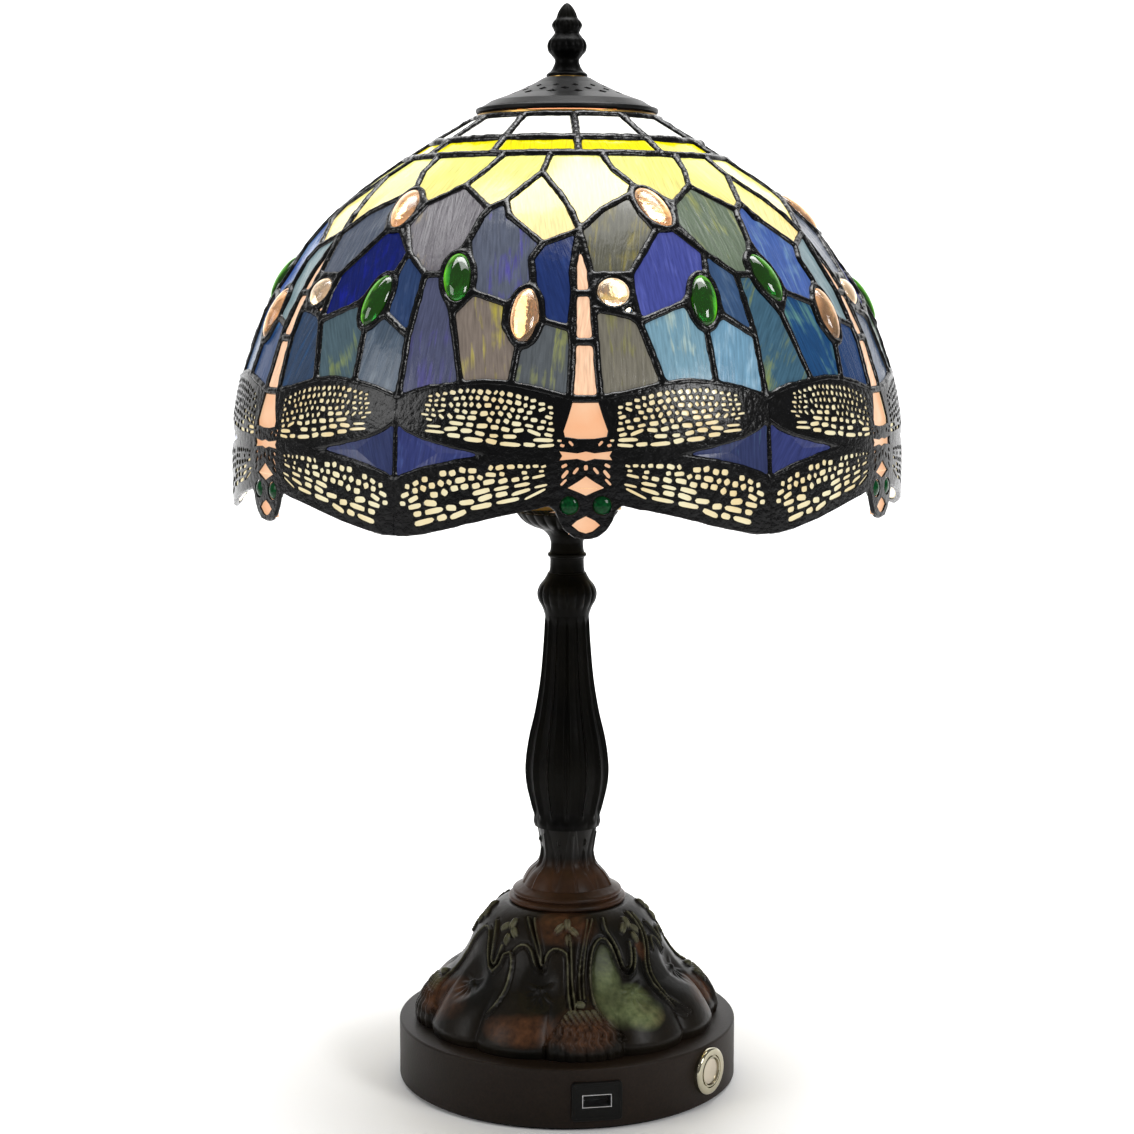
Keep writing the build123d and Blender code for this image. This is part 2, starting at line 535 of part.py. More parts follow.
# ---- shade: pierced metal over the wings ---------------------------------------------------------------
FILIGREE_T = 0.7
SLOT_SIZE = (5.0, 1.8)
SLOT_STEP = (6.6, 3.8)


def inside(point, outline, margin):
    """Whether a point is within a convex-enough outline by at least margin."""
    x, y = point
    for (xa, ya), (xb, yb) in zip(outline, outline[1:] + outline[:1]):
        length = sqrt((xb - xa) ** 2 + (yb - ya) ** 2)
        if ((xb - xa) * (y - ya) - (yb - ya) * (x - xa)) / length < margin:
            return False
    return True


def filigree(corners):
    """A thin sheet on the outside of a wing pane, pierced by staggered slots."""
    ring_points = [dome_point(theta, s) for theta, s in corners]
    plane = pane_plane(ring_points)
    outline = flat_outline(ring_points, plane, LEAD)
    sheet = make_face(Polyline([*outline], close=True))
    slots = []
    for row in range(-5, 6):
        for column in range(-5, 6):
            x = (column + 0.5 * (row % 2)) * SLOT_STEP[0]
            y = row * SLOT_STEP[1]
            reach = SLOT_SIZE[0] / 2
            if inside((x - reach, y), outline, 1.8) and inside((x + reach, y), outline, 1.8):
                slots.append(Pos(x, y) * Rectangle(*SLOT_SIZE))
    sheet = sheet - slots
    return plane.offset(GLASS_T / 2) * extrude(sheet, FILIGREE_T)


sheets = [filigree(corners) for corners in UPPER_WING + LOWER_WING]
parts["wing_filigree"] = Compound(children=[Rot(0, 0, turn) * sheet for turn in copies for sheet in sheets])

# ---- shade: the soldered web and its top ring -----------------------------------------------------------
HEM = [(0.0, 10.6), (1.6, 11.2), (3.2, 14.5), (4.4, 20.5), (5.4, 24.3), (8.0, 22.6), (12.0, 20.6),
       (15.0, 18.5), (20.0, 15.0), (25.0, 11.8), (HALF_PITCH, 10.4)]

COURSES = (2.0, 32.0, 58.0, 82.0, 105.0, 128.0, 151.0, 176.0, 203.0, 231.8)

outer_course = [dome_point(0, s, 0) for s in COURSES]
inner_course = [dome_point(0, s, SHELL_T) for s in reversed(COURSES)]
shell_line = Polyline([(-p.Y, 0, p.Z) for p in outer_course + inner_course], close=True)
shell_face = make_face(shell_line)
web = Rot(0, 0, -90 - HALF_PITCH) * revolve(shell_face, axis=Axis.Z, revolution_arc=PITCH)

hem_points = [dome_point(theta, s, 0) for theta, s in mirrored(HEM)[:0:-1] + HEM]
below = [(p.X, p.Z) for p in hem_points]
low = [(SHADE_R, below[-1][1]), (SHADE_R, HEM_Z - 5), (-SHADE_R, HEM_Z - 5), (-SHADE_R, below[0][1])]
hem_cut = Plane.XZ * extrude(make_face(Polyline([*below, *low], close=True)), 200)
web -= hem_cut

cutters = []
for turn in (-PITCH, 0, PITCH):
    for hole in holes:
        moved = Rot(0, 0, turn) * hole
        reach = moved.bounding_box()
        if reach.min.X < 80 and reach.max.X > -80:
            cutters.append(moved)
web = web - cutters
web_share = web.solids()
lattice = Part() + [Rot(0, 0, turn) * solid for turn in copies for solid in web_share]
parts["solder_web"] = lattice

RING_R = 35.0
parts["shade_top_ring"] = turned([(RING_R, 442.0), (37.6, 442.0), (37.6, 443.6), (40.4, 443.6),
                                  (40.4, 445.8), (RING_R, 445.8)])

# ---- cap and finial ----------------------------------------------------------------------------------
CAP_T = 1.0
CAP_SKIN = [(40.6, 447.2), (38.7, 449.2), (34.4, 451.9), (26.3, 454.8), (20.5, 457.3), (14.8, 460.0),
            (10.6, CAP_TOP)]
cap_under = [(r - 0.25, z - CAP_T) for r, z in reversed(CAP_SKIN)]
cap = turned(CAP_SKIN + [(3.3, CAP_TOP), (3.3, CAP_TOP - CAP_T)] + cap_under)
cap += Pos(0, 0, 447.5) * Torus(39.9, 1.35)
VENTS = 14
VENT_ROWS = [(19.0, 3.4, 2.6, 0.0), (22.9, 4.2, 3.2, 0.5), (26.3, 5.0, 3.6, 0.0)]
VENT_PHASE = -14.9
for reach, across, along, offset in VENT_ROWS:
    corners = [(across / 2, 0), (0, along / 2), (-across / 2, 0), (0, -along / 2)]
    diamond = Pos(0, -reach, 440) * extrude(make_face(Polyline(corners, close=True)), 30)
    for vent in range(VENTS):
        cap -= around(diamond, VENT_PHASE + 360 / VENTS * (vent + offset))
parts["vent_cap"] = cap

FINIAL_Z = CAP_TOP + 0.7
parts["finial_washer"] = ring(8.0, 3.3, CAP_TOP + 0.05, FINIAL_Z - 0.05)
SHOULDER = [(9.5, FINIAL_Z), (7.4, 465.4), (5.8, 467.7), (5.4, 470.3), (7.9, 473.0), (9.2, 475.8),
            (8.3, 478.4), (6.3, 480.9), (5.7, 483.5), (7.3, 485.6), (5.0, 488.4), (4.0, 491.0),
            (2.4, 493.6), (0.6, FINIAL_TOP)]
INSERT_R = 4.6
INSERT_TOP = CAP_TOP + 17.0
finial = turned(SHOULDER + [(0, FINIAL_TOP), (0, INSERT_TOP + 0.05), (INSERT_R + 0.05, INSERT_TOP + 0.05),
                            (INSERT_R + 0.05, FINIAL_Z)])
parts["finial"] = finial
parts["finial_insert"] = turned([(3.1, FINIAL_Z), (INSERT_R, FINIAL_Z), (INSERT_R, INSERT_TOP),
                                 (0, INSERT_TOP), (0, INSERT_TOP - 0.6), (3.1, INSERT_TOP - 0.6)])

# ---- write ------------------------------------------------------------------------------------------
for name, shape in parts.items():
    export_step(shape, f"parts/{name}.step")
    solids = shape.solids() if hasattr(shape, "solids") else [shape]
    print(f"{name}: {len(solids)} solids")
print(f"{len(parts)} nodes")
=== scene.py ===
from math import cos, pi, radians, sin

import bmesh
import bpy
import numpy as np
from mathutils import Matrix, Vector
from mathutils.geometry import delaunay_2d_cdt


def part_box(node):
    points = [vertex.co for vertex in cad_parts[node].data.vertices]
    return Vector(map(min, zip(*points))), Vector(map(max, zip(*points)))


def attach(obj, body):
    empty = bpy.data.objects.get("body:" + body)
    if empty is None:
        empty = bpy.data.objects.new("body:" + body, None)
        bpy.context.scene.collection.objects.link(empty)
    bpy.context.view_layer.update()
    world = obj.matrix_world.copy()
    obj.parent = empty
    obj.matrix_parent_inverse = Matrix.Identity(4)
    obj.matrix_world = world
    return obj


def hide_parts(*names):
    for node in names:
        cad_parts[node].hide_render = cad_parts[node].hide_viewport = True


# A leaded-glass dragonfly table lamp: powered base, cast foot and stem, lamp holder, shade, cap, finial.
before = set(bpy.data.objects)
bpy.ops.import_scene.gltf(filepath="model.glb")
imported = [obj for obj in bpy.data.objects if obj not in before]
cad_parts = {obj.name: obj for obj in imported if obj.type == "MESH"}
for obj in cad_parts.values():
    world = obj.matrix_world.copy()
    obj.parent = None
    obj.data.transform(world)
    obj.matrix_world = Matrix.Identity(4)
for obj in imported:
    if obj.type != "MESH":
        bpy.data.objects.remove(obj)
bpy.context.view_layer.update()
MM = 0.001


# ---- The studio ------------------------------------------------------------------------------------
# A pale sweep of paper under and behind the lamp, soft light from both sides and from above, and a
# camera a little above the foot of the shade that looks slightly down.
AIM_HEIGHT = 240.8 * MM
CAMERA_DISTANCE = 1038.0 * MM
CAMERA_PITCH = radians(7.2)

camera_data = bpy.data.cameras.new("camera")
camera_data.lens = 71.33
camera_data.sensor_width = 36.0
camera = bpy.data.objects.new("camera", camera_data)
camera.location = (0, -CAMERA_DISTANCE * cos(CAMERA_PITCH), AIM_HEIGHT + CAMERA_DISTANCE * sin(CAMERA_PITCH))
camera.rotation_euler = (pi / 2 - CAMERA_PITCH, 0, 0)
bpy.context.scene.collection.objects.link(camera)
bpy.context.scene.camera = camera
bpy.context.scene.view_settings.view_transform = "Standard"


def new_finish(name):
    """An empty finish: the material, its node tree and its main shader."""
    made = bpy.data.materials.new(name)
    made.use_nodes = True
    tree = made.node_tree
    tree.nodes.clear()
    output = tree.nodes.new("ShaderNodeOutputMaterial")
    shader = tree.nodes.new("ShaderNodeBsdfPrincipled")
    tree.links.new(shader.outputs["BSDF"], output.inputs["Surface"])
    return made, tree, shader


def feed(tree, made, feeds):
    """Set a node's inputs, each from a value or from another node's output."""
    for socket, value in dict(feeds).items():
        if isinstance(value, bpy.types.NodeSocket):
            tree.links.new(value, made.inputs[socket])
        else:
            made.inputs[socket].default_value = value


def step(tree, kind, feeds=(), **settings):
    """One node, with its settings and its inputs."""
    made = tree.nodes.new(kind)
    for key, value in settings.items():
        setattr(made, key, value)
    feed(tree, made, feeds)
    return made


def noise(tree, at, scale, detail=2.0, **more):
    """Noise from 0 to 1 over the places that a vector gives."""
    feeds = {"Vector": at, "Scale": scale, "Detail": detail, **more}
    return step(tree, "ShaderNodeTexNoise", feeds).outputs["Fac"]


def reckon(tree, operation, *terms):
    """One sum over values or outputs."""
    return step(tree, "ShaderNodeMath", dict(enumerate(terms)), operation=operation).outputs[0]


def spread(tree, value, low, high, from_low=0.0, from_high=1.0):
    """A value laid out from one range onto another, and kept within it."""
    return step(tree, "ShaderNodeMapRange", {"Value": value, "From Min": from_low, "From Max": from_high,
                                             "To Min": low, "To Max": high}).outputs[0]


def mixed(tree, share, under, over, kind="MIX"):
    """Two colours mixed by a share; plain colours are given as three numbers."""
    under, over = ((*v, 1.0) if isinstance(v, tuple) else v for v in (under, over))
    return step(tree, "ShaderNodeMix", {0: share, 6: under, 7: over}, data_type="RGBA",
                blend_type=kind).outputs[2]


def named(tree, name, kind="Fac"):
    """A value that the mesh stores at its points."""
    return step(tree, "ShaderNodeAttribute", attribute_name=name).outputs[kind]


def object_place(tree):
    """A place on the piece, in its own metres."""
    return step(tree, "ShaderNodeTexCoord").outputs["Object"]


def ramp(tree, factor, stops):
    """A colour ramp over factor, from (position, colour) stops."""
    made = step(tree, "ShaderNodeValToRGB", {"Fac": factor})
    band = made.color_ramp
    while len(band.elements) < len(stops):
        band.elements.new(0.5)
    for element, (position, colour) in zip(band.elements, stops):
        element.position = position
        element.color = (*colour, 1.0)
    return made.outputs["Color"]


def pigment(red, green, blue):
    """A colour mixed in everyday 0 to 255 steps, as the linear light that shaders take."""
    steps = (v / 255 for v in (red, green, blue))
    return tuple(((v + 0.055) / 1.055) ** 2.4 if v > 10 / 255 else v / 12.92 for v in steps)


paper, paper_tree, paper_shader = new_finish("paper")
grain = step(paper_tree, "ShaderNodeTexNoise", {"Scale": 3.0}).outputs["Fac"]
paper_white = ramp(paper_tree, grain, [(0.3, (0.90,) * 3), (0.7, (0.93,) * 3)])
feed(paper_tree, paper_shader, {"Base Color": paper_white, "Roughness": 0.9})

SWEEP_HALF = 3.0
SWEEP_RISE = 2.6
sweep_line = [(-3.2, 0.0), (1.2, 0.0)]
sweep_line += [(1.2 + 0.8 * sin(a), 0.8 - 0.8 * cos(a)) for a in np.linspace(0.1, pi / 2, 12)]
sweep_line += [(2.0, SWEEP_RISE)]
sweep_mesh = bpy.data.meshes.new("sweep")
sweep_points = [(x, y, z) for y, z in sweep_line for x in (-SWEEP_HALF, SWEEP_HALF)]
sweep_faces = [(2 * i, 2 * i + 1, 2 * i + 3, 2 * i + 2) for i in range(len(sweep_line) - 1)]
sweep_mesh.from_pydata(sweep_points, [], sweep_faces)
sweep_mesh.shade_smooth()
sweep_mesh.materials.append(paper)
sweep = bpy.data.objects.new("sweep", sweep_mesh)
bpy.context.scene.collection.objects.link(sweep)

world = bpy.data.worlds.new("room")
bpy.context.scene.world = world
world.use_nodes = True
world.node_tree.nodes["Background"].inputs["Color"].default_value = (1.0, 1.0, 1.0, 1.0)
world.node_tree.nodes["Background"].inputs["Strength"].default_value = 0.22


def softbox(name, place, aim, size, power):
    """A square of soft light at place, turned towards aim."""
    data = bpy.data.lights.new(name, "AREA")
    data.size = size
    data.energy = power
    lamp = bpy.data.objects.new(name, data)
    lamp.location = place
    lamp.rotation_euler = (Vector(aim) - Vector(place)).to_track_quat("-Z", "Y").to_euler()
    bpy.context.scene.collection.objects.link(lamp)


softbox("key", (1.3, -1.3, 1.1), (0, 0, 0.25), 0.6, 18.0)
softbox("fill", (-1.6, -0.8, 0.9), (0, 0, 0.2), 0.8, 10.0)
softbox("top", (0.2, 0.1, 2.2), (0, 0, 0.1), 1.2, 26.0)
softbox("wall", (0.0, 0.4, 2.0), (0, 2.0, 0.9), 1.6, 70.0)


# ---- Powered base ------------------------------------------------------------------------------------
# A squat round housing moulded in dark brown satin plastic, with a fine rounded top edge, standing on
# a ring of black rubber. Its bottom cover, screws and ballast are hidden under it.
def smooth_line(points, count):
    """Evenly spaced points on a smooth line through the given ones."""
    points = np.array(points, float)
    reach = np.concatenate([[0], np.cumsum(np.linalg.norm(np.diff(points, axis=0), axis=1))])
    slope = np.gradient(points, reach, axis=0, edge_order=2)
    where = np.linspace(0, reach[-1], count)
    at = np.clip(np.searchsorted(reach, where, side="right") - 1, 0, len(points) - 2)
    span = (reach[at + 1] - reach[at])[:, None]
    t = (where - reach[at])[:, None] / span
    start = (1 + 2 * t) * (1 - t) ** 2 * points[at] + t * (1 - t) ** 2 * span * slope[at]
    end = t ** 2 * (3 - 2 * t) * points[at + 1] + t ** 2 * (t - 1) * span * slope[at + 1]
    return start + end


def arc(centre_r, centre_z, radius, start, end, count=6):
    """Points of a round corner of a turned line; angles in degrees, 0 outwards and 90 up."""
    angles = np.radians(np.linspace(start, end, count))
    return [(centre_r + radius * cos(a), centre_z + radius * sin(a)) for a in angles]


def face_outwards(mesh, weld=False):
    """Turn a mesh's faces outwards, first welding points that meet if asked."""
    work = bmesh.new()
    work.from_mesh(mesh)
    if weld:
        bmesh.ops.remove_doubles(work, verts=work.verts, dist=1e-6)
    bmesh.ops.recalc_face_normals(work, faces=work.faces)
    work.to_mesh(mesh)
    work.free()


def add_piece(name, points, faces, finish, body="root", replaces=(), crease=35.0):
    """A mesh object from millimetre points, with outward faces, riding on a body of the frame."""
    mesh = bpy.data.meshes.new(name)
    mesh.from_pydata((np.array(points, float) * MM).tolist(), [], faces)
    face_outwards(mesh, weld=True)
    return place_mesh(name, mesh, finish, body, replaces, crease)


def mark(mesh, name, kind, values):
    """Store values at a mesh's points, under a name that finishes and nodes read."""
    field = {"FLOAT": "value", "FLOAT_COLOR": "color", "FLOAT_VECTOR": "vector"}[kind]
    layer = mesh.attributes.new(name, kind, "POINT")
    layer.data.foreach_set(field, np.array(values, np.float32).ravel())


def place_mesh(name, mesh, finish, body="root", replaces=(), crease=35.0):
    """Link a finished mesh, shade it smooth up to the crease angle and tie it to the frame."""
    mesh.shade_smooth()
    mesh.set_sharp_from_angle(angle=radians(crease))
    mesh.materials.clear()
    mesh.materials.append(finish)
    made = bpy.data.objects.new(name, mesh)
    bpy.context.scene.collection.objects.link(made)
    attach(made, body)
    if replaces:
        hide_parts(*replaces)
    return made


def turned_points(line, sides, shape=None):
    """Rings of a closed (radius, height) line turned about the axis; shape may vary the radius."""
    line = np.array(line, float)
    theta = np.linspace(0, 2 * pi, sides, endpoint=False)
    r = np.repeat(line[:, 0][:, None], sides, axis=1)
    z = np.repeat(line[:, 1][:, None], sides, axis=1)
    if shape:
        r, z = shape(np.broadcast_to(theta, r.shape), r, z)
    points = np.stack([r * np.sin(theta), -r * np.cos(theta), z], axis=-1).reshape(-1, 3)
    faces = []
    rows = len(line)
    for i in range(rows):
        for j in range(sides):
            a, b = i * sides + j, i * sides + (j + 1) % sides
            c, d = ((i + 1) % rows) * sides + (j + 1) % sides, ((i + 1) % rows) * sides + j
            faces.append((a, b, c, d))
    return points, faces


def bump(tree, shader, height, distance):
    """Relief in the finish, distance in millimetres."""
    made = step(tree, "ShaderNodeBump", {"Height": height, "Distance": distance * MM, "Strength": 1.0})
    feed(tree, shader, {"Normal": made.outputs["Normal"]})


def moulded(name, dark, light, roughness):
    """Moulded plastic or enamel: a fine even grain, slightly uneven colour and sheen."""
    made, tree, shader = new_finish(name)
    place = object_place(tree)
    cloud, fine = noise(tree, place, 18.0, 4.0), noise(tree, place, 900.0)
    half = reckon(tree, "MULTIPLY", reckon(tree, "ADD", cloud, fine), 0.5)
    feed(tree, shader, {"Base Color": ramp(tree, half, [(0.35, dark), (0.65, light)]),
                        "Roughness": spread(tree, cloud, roughness - 0.05, roughness + 0.08),
                        "Specular IOR Level": 0.16})
    bump(tree, shader, fine, 0.06)
    return made


brown_plastic = moulded("brown_plastic", pigment(19, 12, 7), pigment(30, 20, 12), 0.5)
black_plastic = moulded("black_plastic", pigment(3, 3, 2), pigment(7, 7, 6), 0.5)
rubber = moulded("rubber", pigment(14, 14, 14), pigment(26, 26, 26), 0.75)

low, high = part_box("base_housing")
BASE_R, BASE_LOW, BASE_TOP = high.x / MM, low.z / MM, high.z / MM
BASE_EDGE = 1.0
BASE_SIDES = 256
housing_line = [(6.0, BASE_TOP - 2.6), (BASE_R - 3, BASE_TOP - 2.6), (BASE_R - 3, BASE_LOW)]
housing_line += arc(BASE_R - 0.5, BASE_LOW + 0.5, 0.5, -90, 0, 4)
housing_line += arc(BASE_R - BASE_EDGE, BASE_TOP - BASE_EDGE, BASE_EDGE, 0, 90, 7) + [(6.0, BASE_TOP)]
points, faces = turned_points(housing_line, BASE_SIDES)
housing = add_piece("housing", points, faces, brown_plastic, replaces=["base_housing"])

PAD_R, PAD_TOP = (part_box("foot_pad")[1][axis] / MM for axis in (0, 2))
pad_line = [(60.0, 0.0)] + arc(PAD_R - 0.4, 0.4, 0.4, -90, 0, 4) + [(PAD_R, PAD_TOP), (60, PAD_TOP)]
points, faces = turned_points(pad_line, 128)
add_piece("rubber_ring", points, faces, rubber, replaces=["foot_pad"])


# ---- Charging socket -----------------------------------------------------------------------------------
# A black moulded plate with rounded corners, pressed into a window in the housing, with a plated steel
# socket and its black tongue set in the middle.
USB_THETA = 9.6
USB_Z = 13.75
PLATE = (22.5, 17.5)
MOUTH = (13.2, 5.9)


def rounded_rectangle(width, height, corner, count=5):
    """The corners of an upright rounded rectangle about the origin."""
    ring = []
    for turn, (sx, sy) in enumerate([(1, 1), (-1, 1), (-1, -1), (1, -1)]):
        for a in np.radians(np.linspace(90 * turn, 90 * turn + 90, count)):
            ring.append((sx * (width / 2 - corner) + corner * cos(a),
                         sy * (height / 2 - corner) + corner * sin(a)))
    return ring


def at_front(ring, reach, theta, z):
    """Lay an upright ring of points across the front radius at reach, then turn it to theta."""
    t = radians(theta)
    return [(x * cos(t) + reach * sin(t), x * sin(t) - reach * cos(t), z + y) for x, y in ring]


def stacked(rings):
    """Points and faces of a tube through equal rings, first joined to last."""
    count = len(rings[0])
    points = [p for ring in rings for p in ring]
    faces = []
    for i in range(len(rings)):
        after = (i + 1) % len(rings)
        for j in range(count):
            faces.append((i * count + j, i * count + (j + 1) % count, after * count + (j + 1) % count,
                          after * count + j))
    return points, faces


def socket_ring(width, height, corner, reach):
    """A rounded rectangle around the charging socket, at a reach from the axis."""
    return at_front(rounded_rectangle(width, height, corner), reach, USB_THETA, USB_Z)


plate_rings = [socket_ring(PLATE[0], PLATE[1], 1.6, 77.0), socket_ring(PLATE[0], PLATE[1], 1.6, 79.9),
               socket_ring(PLATE[0] - 0.5, PLATE[1] - 0.5, 1.4, 80.15),
               socket_ring(PLATE[0] - 2.4, PLATE[1] - 2.4, 1.0, 80.15),
               socket_ring(PLATE[0] - 2.8, PLATE[1] - 2.8, 0.9, 79.95),
               socket_ring(MOUTH[0] + 0.9, MOUTH[1] + 0.9, 0.5, 79.95),
               socket_ring(MOUTH[0] + 0.2, MOUTH[1] + 0.2, 0.3, 79.6),
               socket_ring(MOUTH[0] + 0.2, MOUTH[1] + 0.2, 0.3, 77.0)]
points, faces = stacked(plate_rings)
add_piece("socket_plate", points, faces, black_plastic, replaces=["usb_bezel"])


def cut_away(piece, rings):
    """Cut the block between two rings out of a piece."""
    points, faces = stacked(rings)
    count = len(rings[0])
    faces = faces[:count] + [tuple(range(count))[::-1], tuple(range(count, 2 * count))]
    mesh = bpy.data.meshes.new("cutter")
    mesh.from_pydata((np.array(points) * MM).tolist(), [], faces)
    face_outwards(mesh)
    cutter = bpy.data.objects.new("cutter", mesh)
    bpy.context.scene.collection.objects.link(cutter)
    tool = piece.modifiers.new("cut", "BOOLEAN")
    tool.object = cutter
    tool.operation = "DIFFERENCE"
    tool.solver = "EXACT"
    bpy.context.view_layer.update()
    result = bpy.data.meshes.new_from_object(piece.evaluated_get(bpy.context.evaluated_depsgraph_get()))
    piece.modifiers.remove(tool)
    bpy.data.objects.remove(cutter)
    piece.data = result


cut_away(housing, [socket_ring(PLATE[0] - 1.4, PLATE[1] - 1.4, 1.0, 70.0),
                   socket_ring(PLATE[0] - 1.4, PLATE[1] - 1.4, 1.0, 84.0)])


def plated(name, colour, roughness, brushed=0.0):
    """Bare or plated metal with faint smears and, if brushed, a fine drawn grain."""
    made, tree, shader = new_finish(name)
    place = object_place(tree)
    smear = noise(tree, place, 60.0, 5.0)
    shade = ramp(tree, smear, [(0.3, tuple(v * 0.82 for v in colour)), (0.7, colour)])
    feed(tree, shader, {"Base Color": shade, "Metallic": 1.0,
                        "Roughness": spread(tree, smear, roughness * 0.7, roughness * 1.4)})
    if brushed:
        drawn = step(tree, "ShaderNodeMapping", {"Vector": place, "Scale": (40.0, 40.0, 2500.0)}).outputs[0]
        bump(tree, shader, noise(tree, drawn, 1.0), brushed)
    return made


steel = plated("steel", pigment(190, 190, 192), 0.28, 0.01)
chrome = plated("chrome", pigment(186, 180, 158), 0.08)
satin_metal = plated("satin_metal", pigment(206, 196, 178), 0.36, 0.02)
brass = plated("brass", pigment(196, 158, 88), 0.3, 0.008)
aluminium = plated("aluminium", pigment(205, 206, 208), 0.34, 0.01)
iron = plated("iron", pigment(84, 82, 80), 0.6)


# ---- Push button ---------------------------------------------------------------------------------------
# A chromed bezel ring with a rolled lip, and inside it a satin metal button that a finger presses in.
BUTTON_THETA = 53.9
BUTTON_Z = (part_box("button_ring")[0].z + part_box("button_ring")[1].z) / 2 / MM
RING_R = (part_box("button_ring")[1].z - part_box("button_ring")[0].z) / 2 / MM
BUTTON_R = 6.0


def radial_rings(line, theta, z, sides=96):
    """Rings of a line of (radius, reach) pairs about the radius at theta."""
    angles = np.linspace(0, 2 * pi, sides, endpoint=False)
    return [at_front([(r * cos(a), r * sin(a)) for a in angles], reach, theta, z) for r, reach in line]


ring_line = [(BUTTON_R + 0.2, 70.0), (7.0, 70.0), (7.0, 77.5), (RING_R, 77.5), (RING_R, 79.3)]
ring_line += [(RING_R - 1.1 + r, 80.2 + h) for r, h in arc(0, 0, 1.1, 0, 90, 6)]
ring_line += [(8.6, 81.35), (7.6, 81.2), (7.3, 80.5), (7.0, 80.5), (6.9, 81.3), (BUTTON_R + 0.35, 81.3),
              (BUTTON_R + 0.2, 81.0)]
points, faces = stacked(radial_rings(ring_line, BUTTON_THETA, BUTTON_Z))
add_piece("button_bezel", points, faces, chrome, replaces=["button_ring"], crease=50)
cap_line = [(0.01, 74.0), (BUTTON_R, 74.0), (BUTTON_R, 80.2), (BUTTON_R - 0.3, 80.5), (4.0, 80.58),
            (0.01, 80.6)]
points, faces = stacked(radial_rings(cap_line, BUTTON_THETA, BUTTON_Z))
add_piece("button_face", points, faces, satin_metal, body="button",
          replaces=["button_cap"])


# ---- Foot casting --------------------------------------------------------------------------------------
# A bell-shaped casting with a lobed edge, modelled in low relief with flowers, buds, whiplash stems and
# tassels. It is bronzed nearly black, rubbed brown on what stands proud, and green in the hollows; the ridges
# are also a lighter grey-green, partly rubbed patina and partly a painted highlight.
def bronzed(name, deep, warm, gloss, relief=False, fade=None):
    """Dark patina, plain above the fade heights; with relief, coloured where its attributes say."""
    made, tree, shader = new_finish(name)
    place = object_place(tree)
    cloud, fine = noise(tree, place, 24.0, 5.0), noise(tree, place, 350.0, 4.0)
    base = ramp(tree, cloud, [(0.4, deep), (0.62, warm)])
    if fade:
        height = step(tree, "ShaderNodeSeparateXYZ", {0: place}).outputs["Z"]
        base = mixed(tree, spread(tree, height, 0.0, 1.0, fade[0] * MM, fade[1] * MM), base, deep)
    if relief:
        worn = noise(tree, place, 70.0, 6.0, Distortion=0.5)
        # Where raised, a lighter grey-green: partly rubbed patina, partly a painted highlight along the
        # ridges.
        for patch, dark, light in (("rust", pigment(50, 31, 20), pigment(84, 54, 34)),
                                  ("green", pigment(78, 88, 58), pigment(112, 122, 84)),
                                  ("raised", pigment(72, 72, 54), pigment(104, 102, 80))):
            share = spread(tree, reckon(tree, "MULTIPLY", named(tree, patch), worn), 0.0, 0.9, 0.12, 0.58)
            base = mixed(tree, share, base, ramp(tree, fine, [(0.3, dark), (0.7, light)]))
    feed(tree, shader, {"Base Color": base, "Specular IOR Level": gloss,
                        "Roughness": spread(tree, fine, 0.3, 0.48)})
    bump(tree, shader, fine, 0.12)
    return made


foot_bronze = bronzed("foot_bronze", pigment(12, 11, 8), pigment(26, 21, 15), 0.12, relief=True)
collar_bronze = bronzed("collar_bronze", pigment(12, 10, 7), pigment(62, 40, 26), 0.12, fade=(97.0, 106.0))
stem_bronze = bronzed("stem_bronze", pigment(2, 2, 2), pigment(9, 8, 5), 0.05)

FOOT_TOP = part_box("foot_casting")[1].z / MM
EDGE_Z = 34.0
FOOT_LINE = [(70.0, EDGE_Z), (66.5, 38.5), (61.0, 44.5), (55.0, 50.5), (50.0, 56.5), (46.5, 62.0),
             (44.0, 67.5), (41.0, 72.5), (37.6, 77.2), (33.6, 81.4), (29.2, FOOT_TOP)]
FOOT_COLUMNS = 620
FOOT_ROWS = 148
FOOT_PERIOD = 180.0
foot_skin = smooth_line(FOOT_LINE, FOOT_ROWS)

